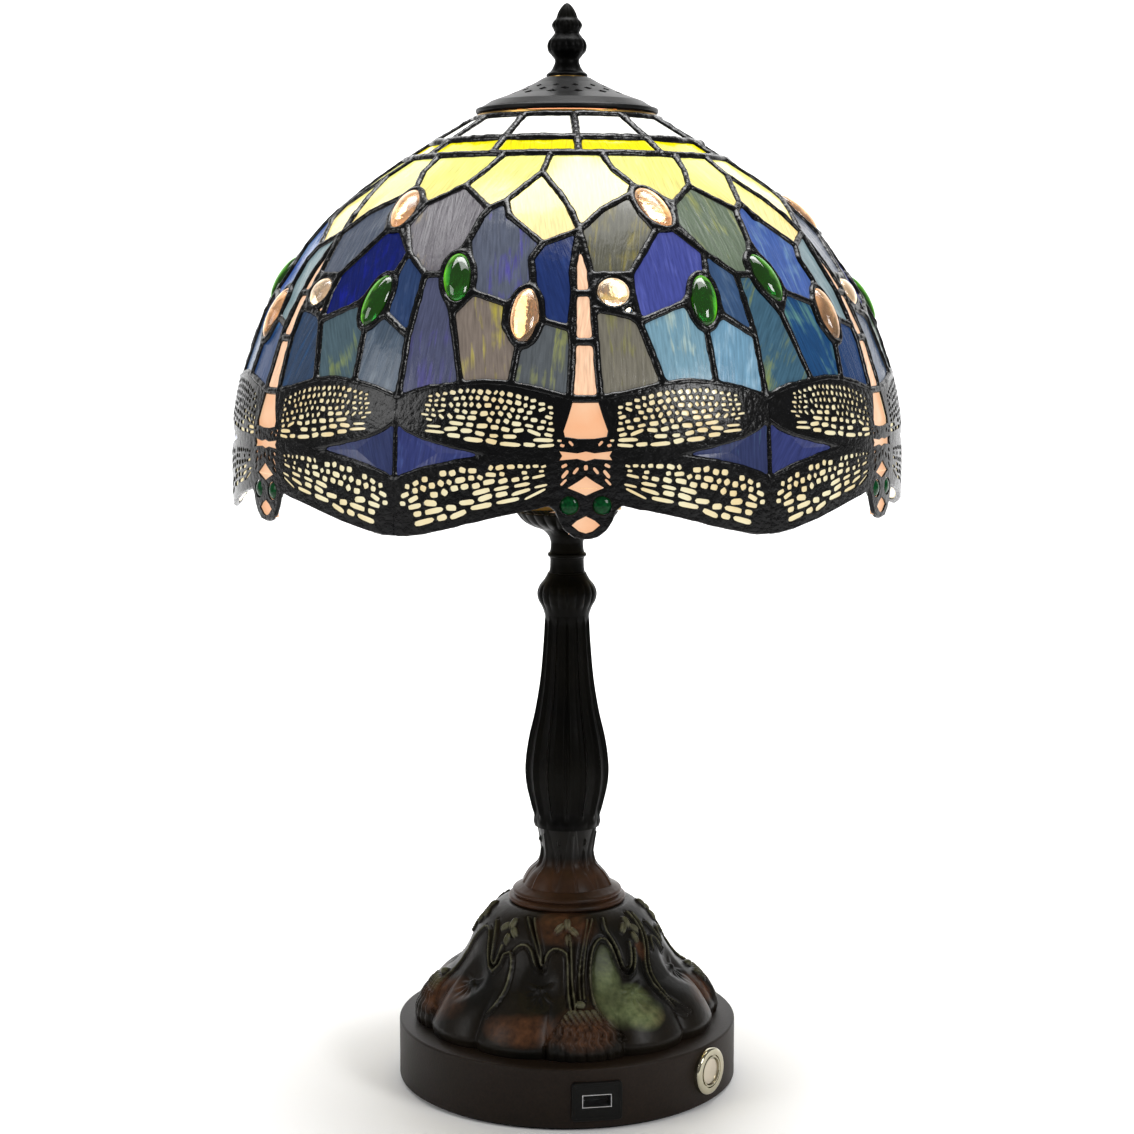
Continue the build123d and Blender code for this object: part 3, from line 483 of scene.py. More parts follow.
# Relief drawn over one half of the foot, as (theta, height) points.
STEMS = [
    [(29.5, 82.0), (28.0, 78.5), (30.4, 74.0), (32.2, 69.3), (32.8, 64.3), (35.0, 61.2), (38.2, 62.0),
     (40.2, 65.5), (42.6, 71.5)],
    [(23.0, 36.4), (19.1, 39.2), (15.5, 42.7), (13.1, 47.1), (12.2, 52.9), (12.4, 58.9), (13.7, 65.9),
     (16.1, 71.1), (20.8, 74.4), (25.4, 74.6), (28.2, 71.3), (29.4, 66.3), (30.8, 61.8), (34.0, 58.6),
     (38.8, 59.4), (42.0, 63.0), (44.4, 68.5)],
    [(56.0, 82.0), (57.0, 79.5), (57.2, 74.7), (53.6, 68.6), (50.1, 63.4), (47.8, 57.6), (47.9, 52.2),
     (49.1, 47.2), (52.0, 42.6), (56.0, 38.6)],
    [(60.5, 81.0), (61.0, 77.5), (59.8, 72.7), (56.0, 67.0), (52.7, 62.0), (50.6, 57.0), (50.5, 52.2),
     (51.5, 47.7), (54.4, 43.4), (58.6, 39.4)],
    [(-26.5, 82.0), (-20.5, 76.1), (-16.2, 70.0), (-14.4, 64.7)],
    [(-32.6, 82.0), (-24.8, 77.0), (-19.4, 71.6), (-16.6, 67.4), (-14.8, 64.0)],
    [(-34.0, 68.8), (-30.0, 71.7), (-25.1, 71.6), (-21.5, 69.2), (-18.8, 65.0), (-15.6, 62.2), (-13.4, 62.8),
     (-12.9, 65.9), (-11.5, 69.7), (-8.4, 71.4), (-4.1, 71.2), (-0.4, 69.7), (0.4, 65.1), (0.5, 57.2),
     (1.2, 49.3), (2.3, 44.7)],
    [(2.6, 73.5), (2.5, 65.1), (2.7, 57.2), (3.4, 51.2), (3.6, 47.4)],
    [(16.4, 82.0), (11.6, 75.4), (8.2, 67.7), (6.6, 59.1), (6.4, 51.6)],
    [(20.0, 82.0), (14.3, 76.4), (10.3, 68.2), (8.6, 59.1), (8.2, 51.6)],
    [(-68.9, 37.6), (-74.5, 42.7), (-77.8, 52.9), (-76.3, 65.9), (-69.2, 74.4), (-61.0, 73.5), (-55.5, 69.0),
     (-52.4, 65.0), (-49.3, 61.0), (-44.6, 58.8), (-41.6, 60.9), (-41.0, 64.9), (-39.0, 68.0), (-34.9, 67.9),
     (-33.3, 64.2), (-32.3, 58.3), (-32.1, 52.1), (-32.8, 47.5), (-35.6, 42.8)],
    [(-60.5, 78.0), (-53.0, 72.4), (-49.6, 67.0), (-47.4, 62.6), (-45.0, 61.8), (-43.9, 65.0), (-43.4, 70.0)],
    [(61.0, 66.0), (64.9, 70.6), (68.5, 69.2), (71.2, 65.0), (74.1, 62.2), (76.4, 62.6), (77.1, 65.9),
     (78.5, 69.7), (81.6, 71.4), (86.0, 71.2), (89.0, 67.7)],
    [(69.5, 76.1), (73.8, 70.0), (75.6, 64.7)],
]
STARS = [(34.2, 52.9), (-14.0, 55.1), (-56.0, 52.9), (76.0, 55.1)]
RAYS = [(-7.2, 2.4), (-7.4, -3.0), (-6.0, -8.4), (-1.4, -11.6), (4.0, -9.4), (8.6, -7.4), (6.4, 3.6)]
BUDS = [(0.0, 78.4), (-42.5, 76.4), (47.5, 76.4), (-88.0, 78.4)]
BUD_PETALS = [(-3.3, 1.0, 0.75), (2.9, -0.6, -0.75), (0.7, -4.6, -0.1), (0.2, 3.2, 0.0)]
TASSELS = (6.6, -83.4)
RIDGE_W, RIDGE_H = 0.6, 1.4
PANEL_DEPTH = 2.0
RUST_SPOTS = [(-2.0, 79.5, 27.0, 8.0), (-17.0, 40.0, 20.0, 7.0), (7.0, 41.0, 15.0, 9.0),
              (35.0, 44.0, 9.0, 5.0), (80.0, 42.0, 16.0, 8.0), (-66.0, 44.0, 20.0, 9.0),
              (50.0, 68.0, 4.0, 6.0)]
GREEN_SPOTS = [(22.0, 56.0, 10.0, 17.0), (33.0, 47.0, 12.0, 9.0)]


def smooth_step(value, low, high):
    """A soft rise from 0 to 1 as a value goes from low to high."""
    t = np.clip((value - low) / (high - low), 0, 1)
    return t * t * (3 - 2 * t)


def half_turn(theta):
    """The angle within the half of the foot that the pattern is drawn over."""
    return (theta + FOOT_PERIOD / 2) % FOOT_PERIOD - FOOT_PERIOD / 2


def spots(theta, z, places):
    """Soft patches at (theta, height, half width, half height), repeated with the pattern."""
    turn = half_turn(theta)
    share = np.zeros(z.shape)
    for t0, h0, wide, tall in places:
        reach = np.hypot((turn - t0) / wide, (z - h0) / tall)
        share = np.maximum(share, smooth_step(reach, 1.3, 0.4))
    return share


def away_from(x, y, ax, ay, bx, by):
    """Distance of each point of the skin from the straight piece between a and b."""
    dx, dy = bx - ax, by - ay
    t = np.clip(((x - ax) * dx + (y - ay) * dy) / (dx * dx + dy * dy + 1e-9), 0, 1)
    return np.hypot(x - ax - t * dx, y - ay - t * dy)


def foot_relief(theta, r, run):
    """Height of the relief in mm, for angles in degrees, at the foot's own radius, height and run."""
    turn = half_turn(theta)

    def laid(h):
        """The distance along the casting's skin at a height."""
        return np.interp(h, foot_skin[:, 1], run)

    across = r * np.radians(turn)
    along = np.broadcast_to(run[:, None], r.shape)
    relief = np.zeros(r.shape)
    for t0, h0 in STARS:
        x = np.radians(turn - t0) * r
        y = along - laid(h0)
        relief -= PANEL_DEPTH * smooth_step(np.hypot(x / 0.8, y / 1.15), 13.0, 3.0)
        star = 2.0 * np.sqrt(np.clip(1 - (x * x + y * y) / 1.9 ** 2, 0, 1))
        for end_x, end_y in RAYS:
            near = away_from(x, y, 0.0, 0.0, end_x, end_y)
            taper = smooth_step(np.hypot(x, y), np.hypot(end_x, end_y) * 1.1, 2.0)
            ray = (1.5 * np.exp(-(near / 0.9) ** 2) - 0.6 * np.exp(-(near / 0.3) ** 2)) * taper
            star = np.maximum(star, ray)
        relief += star
    for t0, h0 in BUDS:
        x = np.radians(turn - t0) * r
        y = along - laid(h0)
        for petal_x, petal_y, lean in BUD_PETALS:
            u = (x - petal_x) * cos(lean) - (y - petal_y) * sin(lean)
            v = (x - petal_x) * sin(lean) + (y - petal_y) * cos(lean)
            petal = 2.1 * np.sqrt(np.clip(1 - (u / 1.7) ** 2 - (v / 3.6) ** 2, 0, 1))
            relief = np.where(petal > 0, np.maximum(relief, petal - 0.8 * np.exp(-(u / 0.35) ** 2)), relief)
    for path in STEMS:
        fine = smooth_line(path, 26)
        near = np.full(r.shape, 1e9)
        for (ta, ha), (tb, hb) in zip(fine[:-1], fine[1:]):
            near = np.minimum(near, away_from(across, along, np.radians(ta) * r, laid(ha), np.radians(tb) * r,
                                              laid(hb)))
        relief = relief + RIDGE_H * np.exp(-(near / RIDGE_W) ** 2) - 0.5 * np.exp(-((near - 1.2) / 0.5) ** 2)
    for t0 in TASSELS:
        x = np.radians(turn - t0) * r
        down = laid(47.5) - along
        half = 5.6 + 0.75 * np.clip(down, 0, 60)
        share = x / (half + 0.01)
        looped = np.abs(np.sin((x - 0.5 * down) * 1.15)) * smooth_step(down, 9.0, 7.0)
        strands = np.abs(np.sin(share * 4.2 * pi + 0.6 * np.sin(down * 0.9))) * smooth_step(down, 7.0, 9.0)
        fringe = (0.5 + 1.5 * np.maximum(looped, strands)) * smooth_step(down, -0.5, 1.5)
        inside = (np.abs(x) < half) & (down > -0.5)
        relief = np.where(inside, np.maximum(relief, fringe), relief)
        ball = 2.6 * np.sqrt(np.clip(1 - (np.hypot(x + 0.6, along - laid(49.2)) / 2.3) ** 2, 0, 1))
        relief = np.where(ball > 0, np.maximum(relief, ball), relief)
    return relief


LOBE_DEPTH = 5.2
EDGE_REACH = 26.0
BELOW_ALL = -99.0


def lobe_edge(theta):
    """How far the edge draws in between the lobes, in mm."""
    turn = (theta + 8.0) % 30.0
    return LOBE_DEPTH * (1 - np.sqrt(np.clip(1 - ((turn - 15.0) / 15.6) ** 2, 0, 1)))


def make_foot():
    """The foot casting: its lining, its rolled edge, and its skin with relief and colour marks."""
    theta = np.linspace(0, 360, FOOT_COLUMNS, endpoint=False)
    run = np.concatenate([[0], np.cumsum(np.linalg.norm(np.diff(foot_skin, axis=0), axis=1))])
    r = np.repeat(foot_skin[:, 0][:, None], FOOT_COLUMNS, axis=1)
    z = np.repeat(foot_skin[:, 1][:, None], FOOT_COLUMNS, axis=1)
    across = np.broadcast_to(theta, r.shape)
    slope = np.gradient(foot_skin, axis=0)
    slope /= np.linalg.norm(slope, axis=1)[:, None]
    out_r, out_z = slope[:, 1][:, None], -slope[:, 0][:, None]
    relief = foot_relief(across, r, run)
    relief *= smooth_step(run[-1] - run, 0, 5)[:, None]
    near_edge = smooth_step(run, EDGE_REACH, 0)[:, None]
    draw = lobe_edge(across) * near_edge
    swell = 1.9 * np.sin(np.clip(run / EDGE_REACH, 0, 1) * pi)[:, None] * (1 - lobe_edge(across) / LOBE_DEPTH)
    lift = relief + swell
    outer_r = r - draw + lift * out_r
    outer_z = z + lift * out_z
    level = np.ones(FOOT_COLUMNS)
    lining = [(6.0, FOOT_TOP), (6.0, FOOT_TOP - 4), (30.0, BASE_TOP + 0.02), (64.0, BASE_TOP + 0.02)]
    edge = [(0.4, BASE_GAP), (-0.2, 3.0), (-0.5, 1.4)]
    stack_r = np.array([inner_r * level for inner_r, _ in lining] + [outer_r[0] - inset for inset, _ in edge]
                       + list(outer_r))
    stack_z = np.array([inner_z * level for _, inner_z in lining]
                       + [(EDGE_Z - drop) * level for _, drop in edge] + list(outer_z))
    raised = np.zeros(stack_r.shape)
    # The raised share carries the lighter ridge colour, partly a painted highlight.
    raised[7:] = smooth_step(relief, 0.3, 1.4) * smooth_step(outer_z, 40.0, 52.0)
    t = np.radians(theta)
    points = np.stack([stack_r * np.sin(t), -stack_r * np.cos(t), stack_z], axis=-1).reshape(-1, 3)
    rows, faces = len(stack_r), []
    for i in range(rows):
        after = (i + 1) % rows
        for j in range(FOOT_COLUMNS):
            k = (j + 1) % FOOT_COLUMNS
            faces.append((i * FOOT_COLUMNS + j, i * FOOT_COLUMNS + k, after * FOOT_COLUMNS + k,
                          after * FOOT_COLUMNS + j))
    mesh = bpy.data.meshes.new("foot")
    mesh.from_pydata((points * MM).tolist(), [], faces)
    height = np.where(np.arange(rows)[:, None] >= len(lining), stack_z, BELOW_ALL)
    turned = np.broadcast_to(theta, height.shape)
    for name, values in (("raised", raised), ("rust", spots(turned, height, RUST_SPOTS)),
                         ("green", spots(turned, height, GREEN_SPOTS) * (1 - raised))):
        mark(mesh, name, "FLOAT", values)
    face_outwards(mesh)
    place_mesh("foot", mesh, foot_bronze, replaces=["foot_casting"], crease=60)


BASE_GAP = EDGE_Z - BASE_TOP - 0.05
make_foot()


# ---- Stem castings ---------------------------------------------------------------------------------------
# Hollow castings threaded on the centre rod: a two-step collar, a leafy waist, a fluted baluster, a
# gadrooned knop, a plain neck with a bead, and a fluted cup under the lamp holder.
STEM_SIDES = 336
BORE = 5.3
WAIST_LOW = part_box("stem_waist")[0].z / MM


def cast_stem(name, outside, node, shape=None, rows=60, smooth=True, finish=stem_bronze):
    """A stem casting with a smooth outside and a plain bore."""
    skin = smooth_line(outside, rows) if smooth else np.array(outside, float)
    line = [(BORE, skin[0][1])] + [tuple(p) for p in skin] + [(BORE, skin[-1][1])]
    points, faces = turned_points(line, STEM_SIDES, shape)
    return add_piece(name, points, faces, finish, replaces=[node], crease=50)


collar_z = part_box("foot_collar")[0].z / MM
collar_line = [(BORE, collar_z), (26.4, collar_z)] + arc(26.1, collar_z + 1.5, 1.4, -70, 80, 8)
collar_line += [(25.4, collar_z + 3.0)] + arc(24.2, collar_z + 4.6, 1.4, -60, 80, 8)
collar_line += [(23.4, collar_z + 6.6), (21.6, collar_z + 7.6), (21.0, WAIST_LOW), (BORE, WAIST_LOW)]
points, faces = turned_points(collar_line, STEM_SIDES)
add_piece("collar", points, faces, collar_bronze, replaces=["foot_collar"], crease=60)

LEAVES = 6


def leafy(theta, r, z):
    """Overlapping leaves that climb the waist, each with a raised rib."""
    leaf = (theta * LEAVES / (2 * pi) + 0.3) % 1.0 - 0.5
    climb = np.clip((z - z.min()) / (z.max() - z.min()), 0, 1)
    width = 0.46 * (1 - 0.75 * climb)
    body = np.where(np.abs(leaf) < width, 0.9 * np.sqrt(np.clip(1 - (leaf / width) ** 2, 0, 1)), 0)
    rib = 0.7 * np.exp(-(leaf / 0.03) ** 2) * (climb < 0.92)
    drop = np.hypot((np.abs(leaf) - 0.5) / 0.085, (z - 104.5) / 5.0)
    drop = 1.3 * np.sqrt(np.clip(1 - drop ** 2, 0, 1))
    bead = np.hypot((np.abs(leaf) - 0.5) / 0.045, (z - 113.0) / 1.6)
    bead = 1.2 * np.sqrt(np.clip(1 - bead ** 2, 0, 1))
    return r + np.maximum(body + rib, np.maximum(drop, bead)) * (r > BORE + 0.5), z


waist_low, waist_high = (v.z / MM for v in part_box("stem_waist"))
cast_stem("waist", [(20.4, waist_low), (17.0, 97.4), (12.6, 102.0), (11.6, 107.0), (12.2, 112.0),
                    (13.6, waist_high)], "stem_waist", leafy, finish=collar_bronze)

FLUTES = 14
FLUTE_DEPTH = 1.25


def fluted(theta, r, z):
    """Rounded channels between narrow double arrises, fading out at both ends."""
    low_z, high_z = z.min(), z.max()
    fade = smooth_step(z, low_z + 3.0, low_z + 9.0) * smooth_step(z, high_z, high_z - 5.0)
    wave = np.abs(np.sin(theta * FLUTES / 2))
    channel = smooth_step(wave, 0.12, 0.75) * FLUTE_DEPTH * np.clip(r / 16, 0.6, 1.2)
    arris = 0.35 * np.exp(-((wave - 0.16) / 0.07) ** 2)
    arches = 0.7 * np.abs(np.sin(theta * FLUTES / 2 + pi / 2)) * np.exp(-((z - low_z - 2.2) / 1.4) ** 2)
    moved = np.where(r > BORE + 0.5, r - (channel - arris) * fade + arches, r)
    return moved, z


baluster_low, baluster_high = (v.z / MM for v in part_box("stem_baluster"))
cast_stem("baluster", [(15.3, baluster_low), (15.4, 123.5), (16.9, 130.0), (19.2, 140.5), (19.6, 146.0),
                       (18.1, 159.5), (15.2, 172.0), (12.5, 188.0), (11.1, 203.0), (10.4, 214.0),
                       (10.3, baluster_high)], "stem_baluster", fluted, rows=110)

GADROONS = 18


def gadrooned(theta, r, z):
    """Fat ribs round the widest part of the knop."""
    swell = np.exp(-((z - 227.5) / 4.6) ** 2)
    ribs = np.abs(np.sin(theta * GADROONS / 2)) ** 0.8
    return np.where(r > BORE + 0.5, r - 0.9 * swell * (1 - ribs), r), z


knop_low, knop_high = (v.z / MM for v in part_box("stem_knop"))
cast_stem("knop", [(10.4, knop_low), (11.6, 222.5), (13.2, 225.5), (13.8, 229.0), (12.6, 232.6),
                   (10.4, 235.4), (8.8, knop_high)], "stem_knop", gadrooned, rows=48)

neck_low, neck_high = (v.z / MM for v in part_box("stem_neck"))
neck_line = [(8.3, neck_low), (7.9, 241.0), (7.8, 244.6)] + arc(7.9, 246.8, 1.1, -80, 80, 9)
neck_line += [(7.7, 249.2), (7.5, neck_high)]
cast_stem("neck", neck_line, "stem_neck", smooth=False)

CUP_FLUTES = 26
cup_low, cup_high = (v.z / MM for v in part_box("socket_cup"))


def shell_fluted(theta, r, z):
    """Fine ribs that fan out towards the cup's lip, which they scallop."""
    open_share = smooth_step(z, 256.0, 263.0)
    ribs = np.abs(np.sin(theta * CUP_FLUTES / 2)) ** 0.7
    return np.where(r > BORE + 0.5, r - 0.75 * open_share * (1 - ribs), r), z


cup_outside = smooth_line([(7.6, cup_low), (8.6, 255.5), (11.0, 258.0), (16.0, 260.0), (20.4, 262.6),
                           (23.6, cup_high - 0.4)], 36)
cup_line = [(BORE, cup_low)] + [tuple(p) for p in cup_outside] + [(23.4, cup_high), (22.6, cup_high)]
cup_line += [(19.0, 264.2), (15.0, 262.0), (BORE, 260.5)]
points, faces = turned_points(cup_line, STEM_SIDES, shell_fluted)
add_piece("cup", points, faces, stem_bronze, replaces=["socket_cup"], crease=50)


# ---- Lamp holder, harp and bulb -------------------------------------------------------------------------
# The holder is spun brass over a black insulator; the harp is bent brass wire. The bulb is a frosted
# glass globe on an aluminium screw base, and it is lit.
def lit(name, colour, strength):
    """A surface that glows evenly, a little mottled."""
    made, tree, shader = new_finish(name)
    cloud = noise(tree, object_place(tree), 40.0)
    shade = ramp(tree, cloud, [(0.3, tuple(v * 0.93 for v in colour)), (0.7, colour)])
    feed(tree, shader, {"Base Color": shade, "Emission Color": shade, "Emission Strength": strength,
                        "Roughness": 0.4})
    return made


BULB_GLOW = 4.0
cad_finishes = {
    steel: ["cover_screws", "usb_shell", "button_nut", "button_spring", "threaded_rod", "rod_nuts",
            "rod_washer", "bulb_contact"],
    brown_plastic: ["bottom_cover"],
    black_plastic: ["cord_inlet", "usb_tongue", "board_components", "button_switch", "holder_body"],
    iron: ["ballast_weight"],
    brass: ["harp_saddle", "harp", "harp_plate", "harp_stud", "holder_cap", "holder_shell", "holder_contact",
            "shade_top_ring", "finial_washer", "finial_insert"],
    aluminium: ["holder_screw_shell", "bulb_base"],
    moulded("board_green", pigment(20, 84, 46), pigment(28, 104, 58), 0.3): ["control_board"],
    moulded("wire_cover", pigment(170, 150, 90), pigment(196, 176, 110), 0.45): ["lamp_wires"],
    lit("bulb_glow", pigment(255, 244, 214), BULB_GLOW): ["bulb_glass"],
    lit("phosphor", pigment(255, 226, 150), BULB_GLOW): ["bulb_filament"],
}


def dress(node, finish):
    """Give a piece that keeps the frame's own shape its finish."""
    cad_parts[node].data.materials.clear()
    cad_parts[node].data.materials.append(finish)


for finish, nodes in cad_finishes.items():
    for node in nodes:
        dress(node, finish)


# ---- Shade: the dome and its glass ---------------------------------------------------------------------
# Flat panes of streaky opalescent glass, cut to a repeating pattern of six dragonflies. The lit bulb makes
# them glow, and that glow is painted in as emission: slate, blue and violet low down, cream and amber above.
SHADE_PHASE = 2.8
DRAGONFLIES = 6
PITCH = 360.0 / DRAGONFLIES
SKIN_INSET = 0.8
DOME = [(152.1, 260.0), (152.8, 288.0), (151.7, 314.0), (147.0, 335.0), (138.5, 357.0), (126.0, 378.0),
        (108.5, 400.0), (90.0, 415.5), (68.0, 430.0), (42.0, 445.5)]
dome_line = smooth_line(DOME, 1200)
dome_run = np.concatenate([[0], np.cumsum(np.linalg.norm(np.diff(dome_line, axis=0), axis=1))])
dome_slope = np.gradient(dome_line, dome_run, axis=0)


def dome(theta, s, rise=0.0):
    """Points of the dome in mm: theta degrees from a dragonfly's axis, s mm from the hem, rise outwards."""
    theta, s = np.radians(np.asarray(theta, float) + SHADE_PHASE), np.asarray(s, float)
    along_r = np.interp(s, dome_run, dome_slope[:, 0])
    along_z = np.interp(s, dome_run, dome_slope[:, 1])
    lift = np.asarray(rise, float) - SKIN_INSET
    r = np.interp(s, dome_run, dome_line[:, 0]) + lift * along_z
    z = np.interp(s, dome_run, dome_line[:, 1]) - lift * along_r
    return np.stack([r * np.sin(theta), -r * np.cos(theta), z], axis=-1)


# Junctions that several panes share, as (theta, s) from a dragonfly's axis.
TAIL_TIP = (-0.3, 142.5)
NEXT_TAIL_TIP = (59.7, 142.5)
WING_SEAM = (30.0, 66.0)
SEAM_MID = (30.1, 92.0)
SEAM_TOP = (30.2, 120.5)
P1_WING = (12.4, 72.0)
P2_WING = (21.2, 72.0)
P5_WING = (40.5, 72.0)
P6_WING = (48.5, 72.3)
PURPLE_LOW = (9.3, 98.5)
PURPLE_SIDE = (8.8, 120.5)
PURPLE_TOP = (15.8, 143.0)
PURPLE_CORNER = (19.8, 143.5)
JEWEL_LOW = (20.9, 94.5)
JEWEL_SIDE = (24.5, 101.5)
JEWEL_TOP = (23.8, 122.0)
LIGHT_TOP = (17.8, 107.0)
MOSS_LOW = (24.8, 131.5)
MOSS_FOOT = (33.8, 120.5)
MOSS_TOP = (30.4, 171.0)
MOSS_LEFT = (22.4, 158.5)
MOSS_RIGHT = (37.2, 137.0)
MOSS_SHOULDER = (38.6, 151.0)
PETAL_V = (39.6, 155.0)
PETAL_FORK = (43.0, 160.3)
PETAL_FOOT = (52.4, 135.5)
PETAL_TOP = (50.4, 180.0)
LEFT_PETAL_TOP = (-9.6, 180.0)
SLATE_TOP = (12.5, 164.5)
CREST = (14.2, 171.0)
BEND = (10.5, 182.0)
BLUE_TOP = (40.5, 112.0)
BLUE_FOOT = (37.4, 102.0)
BLUE_LOW = (47.0, 106.5)
BLUE_SIDE = (50.4, 128.0)
BLUE_WAIST = (51.2, 117.0)
VIOLET_SIDE = (44.6, 151.0)
TAIL_SIDE = (53.3, 99.0)
TAIL_EDGE = (57.8, 95.5)
JEWEL_FOOT = (49.4, 88.5)
TIER_TOP = 195.6

# Each pane: its corners, and its body and streak colours on the front right share and on the others.
BACKGROUND = {
    "slate_glass": [
        ([(2.3, 66.5), (1.8, 90.0), (1.7, 104.5), (8.0, 101.0), PURPLE_LOW, P1_WING, (7.5, 69.2)],
         [((118, 114, 102), (134, 132, 78)), ((52, 68, 92), (40, 78, 122))]),
        ([(1.6, 120.0), (0.5, 136.0), TAIL_TIP, (5.0, 154.5), SLATE_TOP, (13.5, 152.0), PURPLE_TOP,
          PURPLE_SIDE],
         [((92, 91, 78), (136, 126, 62)), ((80, 88, 104), (112, 122, 134))]),
        ([TAIL_SIDE, TAIL_EDGE, (58.4, 111.5), (58.5, 124.0), NEXT_TAIL_TIP, PETAL_FOOT, BLUE_SIDE,
          BLUE_WAIST],
         [((124, 146, 152), (158, 174, 178)), ((32, 50, 102), (50, 72, 128))]),
    ],
    "blue_glass": [
        ([PURPLE_LOW, LIGHT_TOP, JEWEL_LOW, P2_WING, (16.5, 73.2), P1_WING],
         [((118, 156, 174), (188, 206, 192)), ((74, 94, 103), (120, 134, 88))]),
        ([JEWEL_LOW, JEWEL_SIDE, SEAM_MID, WING_SEAM, (25.5, 70.0), P2_WING],
         [((112, 154, 180), (156, 190, 210)), ((72, 86, 102), (104, 116, 128))]),
        ([JEWEL_SIDE, JEWEL_TOP, MOSS_LOW, SEAM_TOP, SEAM_MID],
         [((56, 82, 118), (88, 110, 138)), ((42, 62, 100), (66, 84, 120))]),
        ([WING_SEAM, SEAM_MID, SEAM_TOP, MOSS_FOOT, BLUE_FOOT, P5_WING, (35.0, 70.2)],
         [((62, 96, 116), (124, 138, 84)), ((76, 80, 106), (84, 80, 140))]),
        ([BLUE_FOOT, BLUE_TOP, BLUE_LOW, (46.8, 97.0), JEWEL_FOOT, P6_WING, (44.5, 73.2), P5_WING],
         [((28, 70, 114), (92, 138, 132)), ((124, 113, 104), (178, 166, 78))]),
        ([P6_WING, JEWEL_FOOT, TAIL_SIDE, TAIL_EDGE, (58.0, 88.0), (57.7, 66.5), (53.0, 70.2)],
         [((26, 58, 104), (66, 110, 158)), ((88, 93, 97), (156, 160, 88))]),
    ],
    "violet_glass": [
        ([PURPLE_LOW, (8.6, 111.0), PURPLE_SIDE, PURPLE_TOP, PURPLE_CORNER, MOSS_LOW, JEWEL_TOP, LIGHT_TOP],
         [((68, 76, 148), (88, 96, 172)), ((12, 26, 94), (18, 30, 142))]),
        ([BLUE_TOP, MOSS_RIGHT, MOSS_SHOULDER, PETAL_V, PETAL_FORK, VIOLET_SIDE, PETAL_FOOT, BLUE_SIDE,
          BLUE_WAIST, BLUE_LOW],
         [((70, 98, 164), (112, 146, 180)), ((88, 94, 110), (84, 80, 152))]),
    ],
    "moss_glass": [
        ([SEAM_TOP, MOSS_FOOT, MOSS_RIGHT, MOSS_SHOULDER, PETAL_V, MOSS_TOP, MOSS_LEFT, (20.8, 146.0),
          MOSS_LOW],
         [((104, 118, 98), (150, 154, 84)), ((98, 94, 100), (168, 150, 108))]),
    ],
}
PETALS = [
    [TAIL_TIP, (-1.7, 153.0), (-4.5, 165.0), LEFT_PETAL_TOP, (-8.2, TIER_TOP), (0.3, TIER_TOP),
     (8.7, TIER_TOP), BEND, CREST, SLATE_TOP, (5.0, 154.5)],
    [(8.7, TIER_TOP), (22.5, TIER_TOP), (36.3, TIER_TOP), (33.6, 183.0), MOSS_TOP, MOSS_LEFT, CREST, BEND],
    [(36.3, TIER_TOP), (44.0, TIER_TOP), (51.8, TIER_TOP), PETAL_TOP, PETAL_FORK, PETAL_V, MOSS_TOP,
     (33.6, 183.0)],
    [PETAL_TOP, (55.5, 165.0), (58.3, 153.0), NEXT_TAIL_TIP, PETAL_FOOT, VIOLET_SIDE, PETAL_FORK],
]
BODY = [
    [(-2.3, 66.5), (2.3, 66.5), (1.8, 90.0), (-1.8, 90.0)],
    [(-1.8, 90.0), (1.8, 90.0), (1.6, 111.5), (-1.6, 111.5)],
    [(-1.6, 111.5), (1.6, 111.5), (1.4, 122.0), TAIL_TIP, (-1.9, 122.0)],
]
BAND_LOW, BAND_HIGH = 196.2, 209.4
CROWN_TOP = 231.5
TIER_START = 1.2


def tier(low_s, high_s):
    """Two panes of a ring tier."""
    return [[(t, low_s), (t + 15, low_s), (t + 30, low_s), (t + 30, high_s), (t + 15, high_s), (t, high_s)]
            for t in (TIER_START, TIER_START + 30.0)]


PANE_TOP = -0.9
PANE_T = 1.6
PANE_INSET = 3.6


